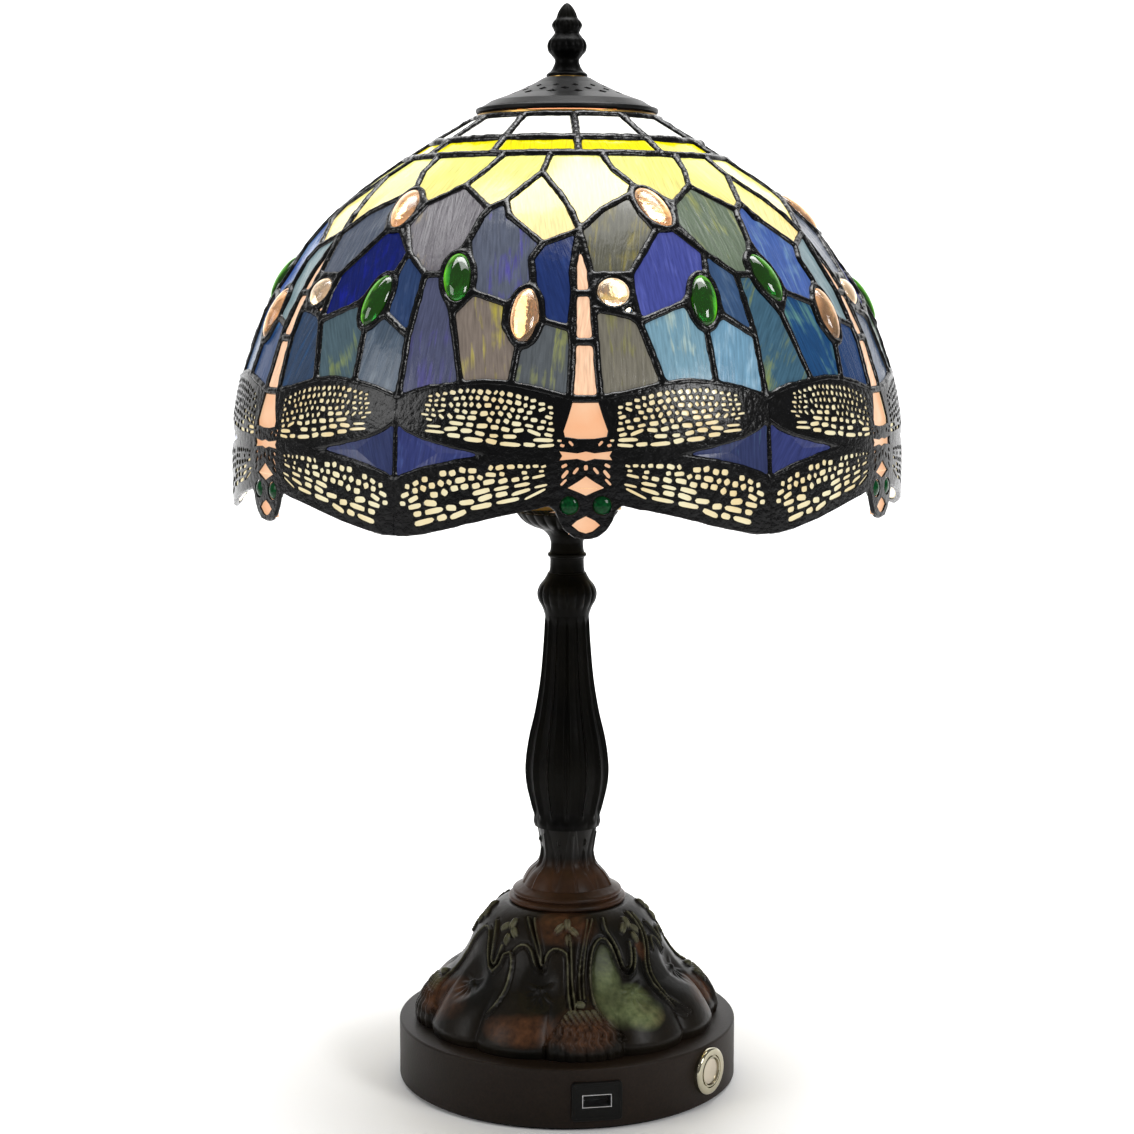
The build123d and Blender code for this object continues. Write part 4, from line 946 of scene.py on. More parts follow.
def pane_mesh(panes):
    """One mesh of many panes: corners, body colour, streak colour. Colours may be functions of s."""
    points, faces, body_colours, streak_colours, inner, grain = [], [], [], [], [], []
    rng = np.random.default_rng(11)
    for corners, body_colour, streak_colour in panes:
        theta, s = np.array(corners, float).T
        rim = dome(theta, s, PANE_TOP)
        count = len(rim)
        middle = rim.mean(axis=0)
        outward = middle * (1, 1, 0)
        outward = outward / np.linalg.norm(outward) + (0, 0, 0.35)
        outward /= np.linalg.norm(outward)
        reach = np.linalg.norm(rim - middle, axis=1)[:, None]
        inset = rim + (middle - rim) * np.clip(PANE_INSET / reach, 0, 0.6) + outward * 0.25
        centre = inset.mean(axis=0) + outward * 0.25
        under = dome(theta, s, PANE_TOP - PANE_T)
        start = len(points)
        points += [*rim, *inset, centre, *under]
        ring = range(count)
        for i in ring:
            j = (i + 1) % count
            faces.append((start + i, start + j, start + count + j, start + count + i))
            faces.append((start + count + i, start + count + j, start + 2 * count))
            faces.append((start + j, start + i, start + 2 * count + 1 + i, start + 2 * count + 1 + j))
        faces.append(tuple(start + 2 * count + 1 + i for i in reversed(ring)))
        level = np.cross((0, 0, 1), outward)
        level /= np.linalg.norm(level)
        upward = np.cross(outward, level)
        lean = rng.normal(0, 0.35)
        offset = rng.uniform(0, 300, 2)
        heights = [*s, *s, s.mean(), *s]
        for index, height in enumerate(heights):
            p = points[start + index] - middle
            x, y = p @ level, p @ upward
            grain.append(((x * cos(lean) + y * sin(lean) + offset[0]) * MM,
                          (-x * sin(lean) + y * cos(lean) + offset[1]) * MM, 0.0))
            tint = body_colour(height) if callable(body_colour) else body_colour
            body_colours.append((*pigment(*tint), 1.0))
            streak_colours.append((*pigment(*(streak_colour(height) if callable(streak_colour)
                                              else streak_colour)), 1.0))
            inner.append(1.0 if count <= index <= 2 * count else 0.0)
    mesh = bpy.data.meshes.new("panes")
    mesh.from_pydata((np.array(points) * MM).tolist(), [], faces)
    mark(mesh, "glass_body", "FLOAT_COLOR", body_colours)
    mark(mesh, "glass_streak", "FLOAT_COLOR", streak_colours)
    mark(mesh, "glass_inner", "FLOAT", inner)
    mark(mesh, "glass_grain", "FLOAT_VECTOR", grain)
    return mesh


UNLIT_SHARE = 0.18


def opalescent(name, glow, streak_share, edge_shade_tint, ripple=0.25, stretch=(260.0, 28.0)):
    """Backlit streaky glass: streaks along each pane's own grain, a painted glow for the light through it,
    and painted shade near its edges by the seams.
    """
    made, tree, shader = new_finish(name)
    grain_at = named(tree, "glass_grain", "Vector")
    drawn, fine_at = (step(tree, "ShaderNodeMapping", {"Vector": grain_at, "Scale": (*scale, 1.0)}).outputs[0]
                      for scale in (stretch, (1100.0, 90.0)))
    wisps = noise(tree, drawn, 1.0, 6.0, Roughness=0.62, Distortion=1.1)
    both = reckon(tree, "ADD", wisps, noise(tree, grain_at, 42.0, 3.0, Distortion=0.6))
    share = spread(tree, both, 0.0, 1.0, 1.28 - 0.4 * streak_share, 1.5 - 0.4 * streak_share)
    tone = mixed(tree, share, named(tree, "glass_body", "Color"), named(tree, "glass_streak", "Color"))
    level = spread(tree, noise(tree, fine_at, 1.0, 3.0), 0.72, 1.28, 0.25, 0.75)
    tone = mixed(tree, 1.0, tone, level, "MULTIPLY")
    # Painted shade: the colour is deepened towards each pane's edges, by the seams.
    tone = mixed(tree, spread(tree, named(tree, "glass_inner"), 1.0, 0.0), tone, edge_shade_tint, "MULTIPLY")
    # The emission is a painted glow standing in for the bulb's light through the glass.
    feed(tree, shader, {"Base Color": mixed(tree, 1.0, tone, (UNLIT_SHARE,) * 3, "MULTIPLY"),
                        "Emission Color": tone, "Emission Strength": glow, "Roughness": 0.12,
                        "Specular IOR Level": 0.22})
    bump(tree, shader, both, ripple)
    return made


background_glow = 0.8
# Painted shade towards the pane edges, by the seams.
painted_edge_shade = (0.72, 0.72, 0.74)
for node, panes in BACKGROUND.items():
    laid = []
    for n in range(DRAGONFLIES):
        for corners, tones in panes:
            body_colour, streak_colour = tones[0 if n in (0, 2, 4) else 1]
            laid.append(([(t + n * PITCH, s) for t, s in corners], body_colour, streak_colour))
    finish = opalescent(node, background_glow, 0.6, painted_edge_shade)
    place_mesh(node + "_panes", pane_mesh(laid), finish, body="shade",
               replaces=[node])


def petal_tone(s):
    """Peach low down to pale yellow high up."""
    t = min(max((s - 140.0) / 45.0, 0.0), 1.0)
    return tuple(a + (b - a) * t for a, b in zip((252, 224, 150), (252, 250, 140)))


def all_round(panes, body_colour, streak_colour):
    """The same panes at each dragonfly, all in one pair of colours."""
    return [([(t + n * PITCH, s) for t, s in corners], body_colour, streak_colour)
            for n in range(DRAGONFLIES) for corners in panes]


place_mesh("petal_panes", pane_mesh(all_round(PETALS, petal_tone, (255, 250, 176))),
           opalescent("petal_glass", 0.84, 0.4, (1.0, 0.97, 0.86), ripple=0.12, stretch=(90.0, 24.0)),
           body="shade", replaces=["petal_glass"])
place_mesh("band_panes", pane_mesh(all_round(tier(BAND_LOW, BAND_HIGH), (255, 240, 6), (246, 206, 20))),
           opalescent("band_glass", 0.8, 0.3, (1.0, 0.93, 0.6), ripple=0.12, stretch=(60.0, 60.0)),
           body="shade", replaces=["band_glass"])
place_mesh("crown_panes", pane_mesh(all_round(tier(BAND_HIGH + 0.8, CROWN_TOP), (255, 255, 250),
                                              (255, 255, 236))),
           opalescent("crown_glass", 1.1, 0.4, (1.0, 0.98, 0.82), ripple=0.1, stretch=(60.0, 30.0)),
           body="shade", replaces=["crown_glass"])
place_mesh("body_panes", pane_mesh(all_round(BODY, (255, 208, 172), (255, 220, 190))),
           opalescent("body_glass", 0.82, 0.4, (1.0, 0.9, 0.82), ripple=0.08, stretch=(90.0, 24.0)),
           body="shade", replaces=["body_glass"])


# ---- Shade: wings, heads and their pierced metal -------------------------------------------------------
# Each dragonfly's wings, chest and head are cream and coral glass behind one sheet of blackened metal,
# pierced with irregular rounded cells. Two green glass eyes are set in each head.
ACROSS = 2.635
WING_TOP = [(4.6, 63.4), (8.0, 67.0), (12.0, 69.8), (16.0, 70.8), (20.0, 70.3), (25.0, 67.8), (29.4, 63.0)]
WING_LOW = [(4.6, 46.6), (10.0, 46.9), (15.0, 47.8), (20.0, 50.0), (24.0, 52.4), (27.0, 55.4), (29.4, 59.4)]
SKIRT_TOP = [(5.6, 40.6), (12.0, 40.9), (16.0, 39.8), (20.0, 38.6), (25.0, 35.4), (29.2, 30.0)]
SKIRT_LOW = [(5.6, 30.6), (8.0, 27.2), (12.0, 24.6), (16.0, 21.6), (20.0, 18.2), (24.0, 15.4), (29.2, 13.6)]
UPPER_ROWS = [6.6, 6.2, 5.0, 3.2, 2.6, 2.4, 2.3, 2.1]
LOWER_ROWS = [7.4, 6.6, 6.0, 4.2, 3.4, 2.8]
CELL_GAP = 0.95


def cell(x, y, half_w, half_h, turn, rng, count=10):
    """A rounded, slightly uneven hole in the sheet."""
    ring = []
    for a in np.linspace(0, 2 * pi, count, endpoint=False):
        c, d = cos(a), sin(a)
        u = half_w * abs(c) ** 0.62 * (1 if c > 0 else -1) * rng.uniform(0.9, 1.05)
        v = half_h * abs(d) ** 0.62 * (1 if d > 0 else -1) * rng.uniform(0.88, 1.05)
        ring.append((x + u * cos(turn) - v * sin(turn), y + u * sin(turn) + v * cos(turn)))
    return ring


def clear_of(ring, others, least):
    """Whether a ring of points keeps at least this far from all the others."""
    for other in others:
        if np.abs(ring.mean(axis=0) - other.mean(axis=0)).max() > 14.0:
            continue
        for a, b in ((ring, other), (other, ring)):
            run = np.roll(b, -1, axis=0) - b
            t = np.clip(((a[:, None] - b) * run).sum(axis=-1) / (run * run).sum(axis=-1), 0, 1)
            if np.linalg.norm(a[:, None] - b - t[..., None] * run, axis=-1).min() < least:
                return False
    return True


def wing_cells(top, low, rows, taken, rng):
    """Rows of cells between a wing's two edges, long near its lower edge and small near the upper."""
    top, low = np.array(top), np.array(low)
    count = len(rows)
    for row, length in enumerate(rows):
        x = (top[0][0] + rng.uniform(0, 0.6)) * ACROSS
        end = top[-1][0] * ACROSS
        while x < end:
            long = length * rng.uniform(0.6, 1.35)
            middle = x + long / 2
            theta = middle / ACROSS
            ahead = theta + 0.5
            bottom, ceiling = np.interp(theta, *low.T), np.interp(theta, *top.T)
            pitch = (ceiling - bottom) / count
            y = bottom + (row + 0.5 + rng.uniform(-0.12, 0.12)) * pitch
            climb = np.interp(ahead, *low.T) - bottom
            climb += (row + 0.5) / count * (np.interp(ahead, *top.T) - ceiling - climb)
            tall = pitch - CELL_GAP * rng.uniform(0.75, 1.15)
            turn = np.arctan(climb / (0.5 * ACROSS)) + rng.normal(0, 0.1)
            if long < 3.0:
                turn += rng.uniform(0.1, 0.8) * (1 if theta > 10 else -0.4)
            if middle + long / 2 < end and tall > 0.85 and rng.uniform() > 0.05:
                for share in (1.0, 0.88, 0.76):
                    ring = np.array(cell(middle, y, share * long / 2, share * tall / 2, turn, rng))
                    if clear_of(ring, taken, 0.6):
                        taken.append(ring)
                        break
            x += long + CELL_GAP * rng.uniform(0.8, 1.3)


HALF_SHEET = [(1.7, 11.6), (3.1, 14.4), (4.0, 18.0), (4.5, 22.0), (5.4, 24.2), (8.0, 22.5), (12.0, 20.4),
              (15.0, 18.4), (20.0, 14.9), (25.0, 11.9), (28.0, 10.7), (29.95, 10.5), (29.95, 32.0),
              (28.5, 34.6), (25.0, 37.9), (20.0, 40.8), (15.0, 42.8), (13.0, 44.0), (16.0, 45.2),
              (20.0, 47.2), (25.0, 50.3), (28.0, 53.6), (29.95, 57.0), (29.95, 66.0), (27.5, 68.2),
              (25.0, 69.9), (21.2, 71.8), (16.5, 72.9), (12.4, 72.0), (8.0, 69.4), (5.0, 67.4),
              (2.3, 66.5)]
CHEST_CELLS = [
    [(-3.9, 45.6), (-3.5, 43.8), (-3.9, 42.1), (-1.3, 42.7), (0.0, 41.8), (1.3, 42.7), (3.9, 42.1),
     (3.5, 43.8), (3.9, 45.6), (1.3, 44.8), (0.0, 45.5), (-1.3, 44.8)],
    [(-3.1, 51.4), (-3.3, 53.6), (-2.6, 59.0), (-1.9, 65.3), (1.9, 65.3), (2.6, 59.0), (3.3, 53.6),
     (3.1, 51.4), (1.2, 50.6), (-1.2, 50.6)],
    [(0.0, 35.8), (-1.2, 33.6), (-2.7, 31.2), (-1.2, 29.6), (0.0, 28.2), (1.2, 29.6), (2.7, 31.2),
     (1.2, 33.6)],
    [(0.0, 20.0), (-1.3, 18.3), (-2.1, 16.4), (-1.0, 14.0), (0.0, 13.2), (1.0, 14.0), (2.1, 16.4),
     (1.3, 18.3)],
]
CHEST_SLITS = [(1.5, 37.9, 1.6, 0.6, -0.9), (3.2, 39.9, 1.3, 0.65, -0.5),
               (3.1, 36.6, 2.0, 0.7, -0.9), (2.2, 48.7, 1.2, 0.55, 0.8), (3.5, 47.9, 0.9, 0.6, 0.2),
               (3.9, 49.8, 0.9, 0.45, 0.1), (3.3, 33.4, 1.7, 0.5, -0.8)]
EYE_THETA, EYE_S, EYE_R = 2.45, 24.2, 4.0
SHEET_T = 0.9
SHEET_RISE = -0.35


def to_sheet(ring):
    """Corners in degrees around the shade, as millimetres across a sheet."""
    return [(t * ACROSS, s) for t, s in ring]


def shrunk(ring, distance):
    """A closed ring moved sideways by distance: inwards for an outline run anticlockwise."""
    ring = np.array(ring, float)
    ahead, behind = np.roll(ring, -1, axis=0) - ring, ring - np.roll(ring, 1, axis=0)
    ahead /= np.linalg.norm(ahead, axis=1)[:, None]
    behind /= np.linalg.norm(behind, axis=1)[:, None]
    side = np.stack([-(ahead + behind)[:, 1], (ahead + behind)[:, 0]], axis=1)
    side /= np.clip((side * side).sum(axis=1) / 2, 0.5, None)[:, None]
    return ring + side * distance


def anticlockwise(ring):
    """A ring of points in the order that runs anticlockwise."""
    ring = np.array(ring, float)
    x, y = ring.T
    area = (x * np.roll(y, -1) - y * np.roll(x, -1)).sum()
    return ring if area > 0 else ring[::-1]


def flat_sheet(outline, holes, thickness, rounding):
    """A flat pierced sheet in mm, as points and faces, with its edges eased."""
    rings = [anticlockwise(outline)] + [anticlockwise(hole)[::-1] for hole in holes]
    eased = [shrunk(ring, rounding) for ring in rings]
    flat = np.concatenate(eased)
    loops, start = [], 0
    for ring in rings:
        loops.append(list(range(start, start + len(ring))))
        start += len(ring)
    filled = delaunay_2d_cdt([Vector(p) for p in flat], [], loops, 2, 1e-5)
    if len(filled[0]) != len(flat):
        raise ValueError("holes in the sheet touch each other")
    order = {new: old[0] for new, old in enumerate(filled[3])}
    top = [tuple(order[v] for v in face) for face in filled[2]]
    count, half = len(flat), thickness / 2
    outer = np.concatenate(rings)
    levels = [(flat, half), (outer, half - rounding), (outer, rounding - half), (flat, -half)]
    points = np.concatenate([np.column_stack([ring, np.full(count, z)]) for ring, z in levels])
    faces = top + [tuple(3 * count + v for v in reversed(face)) for face in top]
    for loop in loops:
        for a, b in zip(loop, loop[1:] + loop[:1]):
            for level in range(3):
                faces.append((level * count + a, (level + 1) * count + a, (level + 1) * count + b,
                              level * count + b))
    return points, faces


rng = np.random.default_rng(5)
chest = [np.array(to_sheet(ring)) for ring in CHEST_CELLS] + [np.array(cell(0.0, 39.2, 0.8, 1.1, 0.0, rng))]
eyes = [np.array([(side * EYE_THETA * ACROSS + (EYE_R - 0.2) * cos(a), EYE_S + (EYE_R - 0.2) * sin(a))
                  for a in np.linspace(0, 2 * pi, 28, endpoint=False)]) for side in (-1, 1)]
taken = chest + eyes
for t, s, w, h, turn in CHEST_SLITS:
    taken.append(np.array(cell(t * ACROSS, s, w, h, turn, rng)))
wing_cells(WING_TOP, WING_LOW, UPPER_ROWS, taken, rng)
wing_cells(SKIRT_TOP, SKIRT_LOW, LOWER_ROWS, taken, rng)
right_cells = taken[len(chest) + len(eyes):]
holes = chest + eyes + right_cells + [ring * (-1, 1) for ring in right_cells]
half = to_sheet(HALF_SHEET)
outline = [(0.0, 11.1)] + half + [(-x, y) for x, y in reversed(half)]
sheet_points, sheet_faces = flat_sheet(outline, holes, SHEET_T, 0.22)


def wrap(points, rise):
    """Bend flat sheet points round the dome."""
    return dome(points[:, 0] / ACROSS, points[:, 1], rise + points[:, 2])


def joined(shapes):
    """Several sets of points and faces as one."""
    points, faces, start = [], [], 0
    for shape_points, shape_faces in shapes:
        points.append(shape_points)
        faces += [tuple(start + v for v in face) for face in shape_faces]
        start += len(shape_points)
    return np.concatenate(points), faces


def spun(points, n):
    """Points turned to the nth dragonfly's place."""
    a = radians(n * PITCH)
    return points @ np.array([[cos(a), -sin(a), 0], [sin(a), cos(a), 0], [0, 0, 1]]).T


def copies(points, faces):
    """The same points and faces turned to each dragonfly's place."""
    return joined([(spun(points, n), faces) for n in range(DRAGONFLIES)])


def blackened(name):
    """Solder and sheet metal under a black patina: glossy, lumpy, with grey rubbed highlights."""
    made, tree, shader = new_finish(name)
    place = object_place(tree)
    cloud, lumps = noise(tree, place, 90.0, 5.0), noise(tree, place, 420.0, 3.0)
    tone = ramp(tree, cloud, [(0.35, pigment(2, 2, 2)), (0.6, pigment(4, 4, 5)), (0.85, pigment(14, 16, 20))])
    feed(tree, shader, {"Base Color": tone, "Specular IOR Level": 0.26,
                        "Roughness": spread(tree, lumps, 0.1, 0.34)})
    bump(tree, shader, lumps, 0.35)
    return made


black_metal = blackened("black_metal")
points, faces = copies(wrap(sheet_points, SHEET_RISE), sheet_faces)
add_piece("pierced_sheets", points, faces, black_metal, body="shade",
          replaces=["wing_filigree"])


def strip_panes(top, low, rise, columns=26, rows=5):
    """A curved plate between two edges, on both sides of the dragonfly's axis."""
    top, low = np.array(top, float), np.array(low, float)
    theta = np.linspace(top[0][0] - 0.8, top[-1][0] + 0.9, columns)
    share = np.linspace(-0.07, 1.07, rows)
    t = np.repeat(theta[:, None], rows, axis=1)
    base, ceiling = np.interp(theta, *low.T)[:, None], np.interp(theta, *top.T)[:, None]
    s = base + share * (ceiling - base)
    points, faces = [], []
    for side in (-1, 1):
        for depth in (rise, rise - 1.6):
            points.append(dome(side * t, s, depth).reshape(-1, 3))
    sheet = columns * rows
    for half_start in (0, 2 * sheet):
        for i in range(columns - 1):
            for j in range(rows - 1):
                a = half_start + i * rows + j
                quad = (a, a + rows, a + rows + 1, a + 1)
                faces += [quad, tuple(sheet + v for v in reversed(quad))]
        border = [i * rows for i in range(columns)] + [(columns - 1) * rows + j for j in range(1, rows)]
        border += [i * rows + rows - 1 for i in range(columns - 2, -1, -1)] + list(range(rows - 2, 0, -1))
        for a, b in zip(border, border[1:] + border[:1]):
            faces.append((half_start + b, half_start + a, half_start + sheet + a, half_start + sheet + b))
    return np.concatenate(points), faces


def plain_opal(name, light, deep):
    """Backlit cream or coral glass, softly clouded, with a painted glow for the bulb's light through it."""
    made, tree, shader = new_finish(name)
    tone = ramp(tree, noise(tree, object_place(tree), 55.0, 3.0), [(0.3, deep), (0.65, light)])
    # The emission is a painted glow for the light through the glass.
    feed(tree, shader, {"Base Color": mixed(tree, 1.0, tone, (UNLIT_SHARE,) * 3, "MULTIPLY"),
                        "Emission Color": tone, "Emission Strength": 0.82, "Roughness": 0.2})
    return made


WING_DEPTH = -1.15
parts = [strip_panes(WING_TOP, WING_LOW, WING_DEPTH), strip_panes(SKIRT_TOP, SKIRT_LOW, WING_DEPTH)]
points, faces = copies(*joined(parts))
cream_opal = plain_opal("wing_opal", pigment(255, 246, 206), pigment(250, 226, 172))
add_piece("wing_panes", points, faces, cream_opal, body="shade", replaces=["wing_glass"])

CHEST_EDGE = [(-4.3, 31.0), (4.3, 31.0), (4.3, 50.0), (3.6, 54.0), (2.3, 66.0), (-2.3, 66.0), (-3.6, 54.0),
              (-4.3, 50.0)]
HEAD_EDGE = [(-2.6, 12.8), (2.6, 12.8), (2.8, 19.0), (2.0, 28.0), (4.3, 30.8), (-4.3, 30.8), (-2.0, 28.0),
             (-2.8, 19.0)]


def small_plate(corners):
    """The points and faces of one small plate on the dome."""
    theta, s = np.array(corners).T
    upper, under = dome(theta, s, WING_DEPTH), dome(theta, s, WING_DEPTH - 1.6)
    count = len(corners)
    faces = [tuple(range(count)), tuple(range(2 * count - 1, count - 1, -1))]
    for i in range(count):
        j = (i + 1) % count
        faces.append((j, i, count + i, count + j))
    return np.concatenate([upper, under]), faces


plates = [small_plate(CHEST_EDGE), small_plate(HEAD_EDGE)]
points, faces = copies(*joined(plates))
add_piece("chest_panes", points, faces,
          plain_opal("coral_opal", pigment(255, 206, 166), pigment(252, 186, 140)), body="shade")

WING_GAP = [(13.4, 44.0), (16.0, 45.2), (20.0, 47.2), (25.0, 50.3), (28.0, 53.6), (30.0, 57.0), (30.0, 32.0),
            (28.5, 34.6), (25.0, 37.9), (20.0, 40.8), (15.0, 42.8)]
GAP_TONES = [((52, 60, 112), (72, 88, 146)), ((50, 58, 96), (70, 96, 128))]
gap_panes = []
for n in range(DRAGONFLIES):
    for side in (1, -1):
        body_colour, streak_colour = GAP_TONES[0 if side < 0 else 1]
        gap_panes.append(([(side * t + n * PITCH, s) for t, s in (WING_GAP if side > 0 else WING_GAP[::-1])],
                          body_colour, streak_colour))
place_mesh("wing_gap_panes", pane_mesh(gap_panes), opalescent("gap_glass", background_glow, 0.4, painted_edge_shade),
           body="shade")


# ---- Shade: cast jewels and eyes ------------------------------------------------------------------------
# Pressed glass cabochons, oval and round, set in the seams, with a painted glow along their edges for light
# from inside.
GREEN_JEWELS = [(21.6, 108.0, 5.8, 12.0, 9.0), (37.0, 119.0, 6.1, 11.8, -12.0)]
AMBER_JEWELS = [(50.2, 101.3, 5.8, 12.2, 3.0), (17.0, 156.0, 6.0, 12.2, -14.0)]
ROUND_JEWELS = [(5.3, 112.0, 6.6, 6.6, 0.0)]
EYES = [(-EYE_THETA, EYE_S, EYE_R, EYE_R, 0.0), (EYE_THETA, EYE_S, EYE_R, EYE_R, 0.0)]


def jewel_axes(theta, s, lean, rise):
    """Centre, level, upward and outward directions of a jewel's seat."""
    centre = dome(theta, s, rise)
    level = dome(theta + 0.5, s, rise) - centre
    level /= np.linalg.norm(level)
    upward = dome(theta, s + 1.0, rise) - centre
    upward /= np.linalg.norm(upward)
    outward = np.cross(level, upward)
    a = radians(lean)
    return centre, level * cos(a) - upward * sin(a), level * sin(a) + upward * cos(a), outward


def cabochon(theta, s, half_w, half_h, lean, dome_h, rise=-1.6, rings=10, sides=36):
    """A domed oval stone with a flat back."""
    centre, level, upward, outward = jewel_axes(theta, s, lean, rise)
    points, faces = [centre + outward * dome_h], []
    for ring in range(1, rings + 1):
        a = pi / 2 * ring / rings
        for turn in np.linspace(0, 2 * pi, sides, endpoint=False):
            points.append(centre + level * half_w * sin(a) * cos(turn) + upward * half_h * sin(a) * sin(turn)
                          + outward * dome_h * cos(a))
    for turn in np.linspace(0, 2 * pi, sides, endpoint=False):
        points.append(centre + level * half_w * 0.95 * cos(turn) + upward * half_h * 0.95 * sin(turn)
                      - outward * 2)
    points.append(centre - outward * 2.6)
    for j in range(sides):
        k = (j + 1) % sides
        faces.append((0, 1 + j, 1 + k))
        for ring in range(rings):
            a, b = 1 + ring * sides, 1 + (ring + 1) * sides
            faces.append((a + j, b + j, b + k, a + k))
        last = 1 + rings * sides
        faces.append((last + k, last + j, len(points) - 1))
    return np.array(points), faces


def cast_glass(name, colour, glow_colour, glow, texture=0.0):
    """Clear tinted pressed glass, with a painted glow that gathers at the rim, for light from inside the
    shade.
    """
    made, tree, shader = new_finish(name)
    place = object_place(tree)
    swirl = noise(tree, place, 120.0, 4.0, Distortion=1.0)
    # Painted light: a glow that gathers where the stone turns away from the view.
    edge = step(tree, "ShaderNodeLayerWeight", {"Blend": 0.45}).outputs["Facing"]
    lights = ramp(tree, reckon(tree, "MULTIPLY", edge, swirl), [(0.16, tuple(v * 0.04 for v in glow_colour)),
                                                               (0.5, glow_colour)])
    tone = ramp(tree, swirl, [(0.35, tuple(v * 0.55 for v in colour)), (0.65, colour)])
    feed(tree, shader, {"Base Color": tone, "Roughness": 0.04, "IOR": 1.5, "Transmission Weight": 0.85,
                        "Emission Color": lights, "Emission Strength": glow})
    if texture:
        bump(tree, shader, noise(tree, place, 700.0, 3.0), texture)
    return made


green_glass = cast_glass("green_glass", pigment(10, 74, 22), pigment(120, 225, 40), 0.9)
amber_glass = cast_glass("amber_glass", pigment(248, 200, 156), pigment(255, 206, 160), 1.3, 0.12)
eye_glass = moulded("eye_glass", pigment(0, 40, 16), pigment(6, 78, 34), 0.1)
clear_glass = cast_glass("clear_glass", pigment(248, 220, 188), pigment(255, 226, 190), 1.3, 0.15)
for name, stones, height, finish, slot, node in (
        ("green_stones", GREEN_JEWELS, 4.2, green_glass, "jewel_green", "green_jewels"),
        ("amber_stones", AMBER_JEWELS, 4.2, amber_glass, "jewel_amber", "amber_jewels"),
        ("round_stones", ROUND_JEWELS, 3.6, clear_glass, "jewel_clear", "round_jewels"),
        ("eye_stones", EYES, 2.2, eye_glass, "jewel_green", "dragonfly_eyes")):
    points, faces = copies(*joined([cabochon(*stone, height) for stone in stones]))
    add_piece(name, points, faces, finish, body="shade", replaces=[node], crease=70)


# ---- Shade: soldered seams ------------------------------------------------------------------------------
# Every pane is edged in copper foil and soldered to the next. The beads are run by hand, so they swell
# and thin, pool where they meet and shine. They are blackened all over.
BEAD_RISE = -1.25
BEAD_R = 1.7
TIER_BEAD_R = 1.95


def seam_edges():
    """Each seam of one dragonfly's share once, as pairs of (theta, s) ends."""
    seen = {}
    outlines = [corners for panes in BACKGROUND.values() for corners, _ in panes]
    outlines += PETALS + BODY + tier(BAND_LOW, BAND_HIGH) + tier(BAND_HIGH + 0.8, CROWN_TOP)
    for corners in outlines:
        for a, b in zip(corners, corners[1:] + corners[:1]):
            turn = PITCH if min(a[0], b[0]) < -3 else 0.0
            ends = sorted([(round((a[0] + turn) % PITCH, 1), a[1]), (round((b[0] + turn) % PITCH, 1), b[1])])
            seen.setdefault(tuple(ends), (a, b))
    return list(seen.values())


WING_LINES = [
    HALF_SHEET[12:24],
    [(2.3, 66.5), (5.0, 67.4), (8.0, 69.4), (12.4, 72.0), (16.5, 72.9), (21.2, 71.8), (25.0, 69.9),
     (27.5, 68.2), (30.0, 66.0)],
    [(30.0, 10.8), (30.0, 32.0)], [(30.0, 32.0), (30.0, 57.0)], [(30.0, 57.0), (30.0, 66.0)],
    [(-2.3, 66.5), (2.3, 66.5)],
]
HEM_LINE = [(0.0, 11.6), (1.6, 12.2), (2.9, 14.9), (3.7, 18.3), (4.2, 22.3), (5.4, 24.9), (8.2, 23.2),
            (12.2, 21.1), (15.2, 19.1), (20.2, 15.6), (25.0, 12.6), (28.0, 11.3), (30.0, 11.1)]


def seam_paths():
    """Paths of (theta, s, radius) points for one dragonfly's share."""
    paths = []
    for a, b in seam_edges():
        radius = TIER_BEAD_R if min(a[1], b[1]) > 190 else BEAD_R
        paths.append([(*a, radius), (*b, radius)])
    for line in WING_LINES:
        for side in (1, -1):
            paths.append([(side * t, s, 1.25) for t, s in line])
    for side in (1, -1):
        paths.append([(side * t, s, 1.15) for t, s in HEM_LINE])
    return paths


def seam_mesh():
    """A mesh of bare edges along the seams, with the bead's radius at each point."""
    points, edges, radii = [], [], []
    for path in seam_paths():
        corners = np.array(path)
        line = dome(corners[:, 0], corners[:, 1], BEAD_RISE)
        start = len(points)
        points += list(line)
        radii += list(corners[:, 2])
        edges += [(start + i, start + i + 1) for i in range(len(line) - 1)]
    for theta, s, half_w, half_h, lean in GREEN_JEWELS + AMBER_JEWELS + ROUND_JEWELS:
        centre, level, upward, _ = jewel_axes(theta, s, lean, BEAD_RISE)
        start = len(points)
        for a in np.linspace(0, 2 * pi, 28, endpoint=False):
            points.append(centre + level * (half_w + 1.0) * cos(a) + upward * (half_h + 1.0) * sin(a))
            radii.append(1.45)
        edges += [(start + i, start + (i + 1) % 28) for i in range(28)]
    mesh = bpy.data.meshes.new("seams")
    mesh.from_pydata((np.array(points) * MM).tolist(), edges, [])
    mark(mesh, "bead_radius", "FLOAT", np.array(radii) * MM)
    return mesh


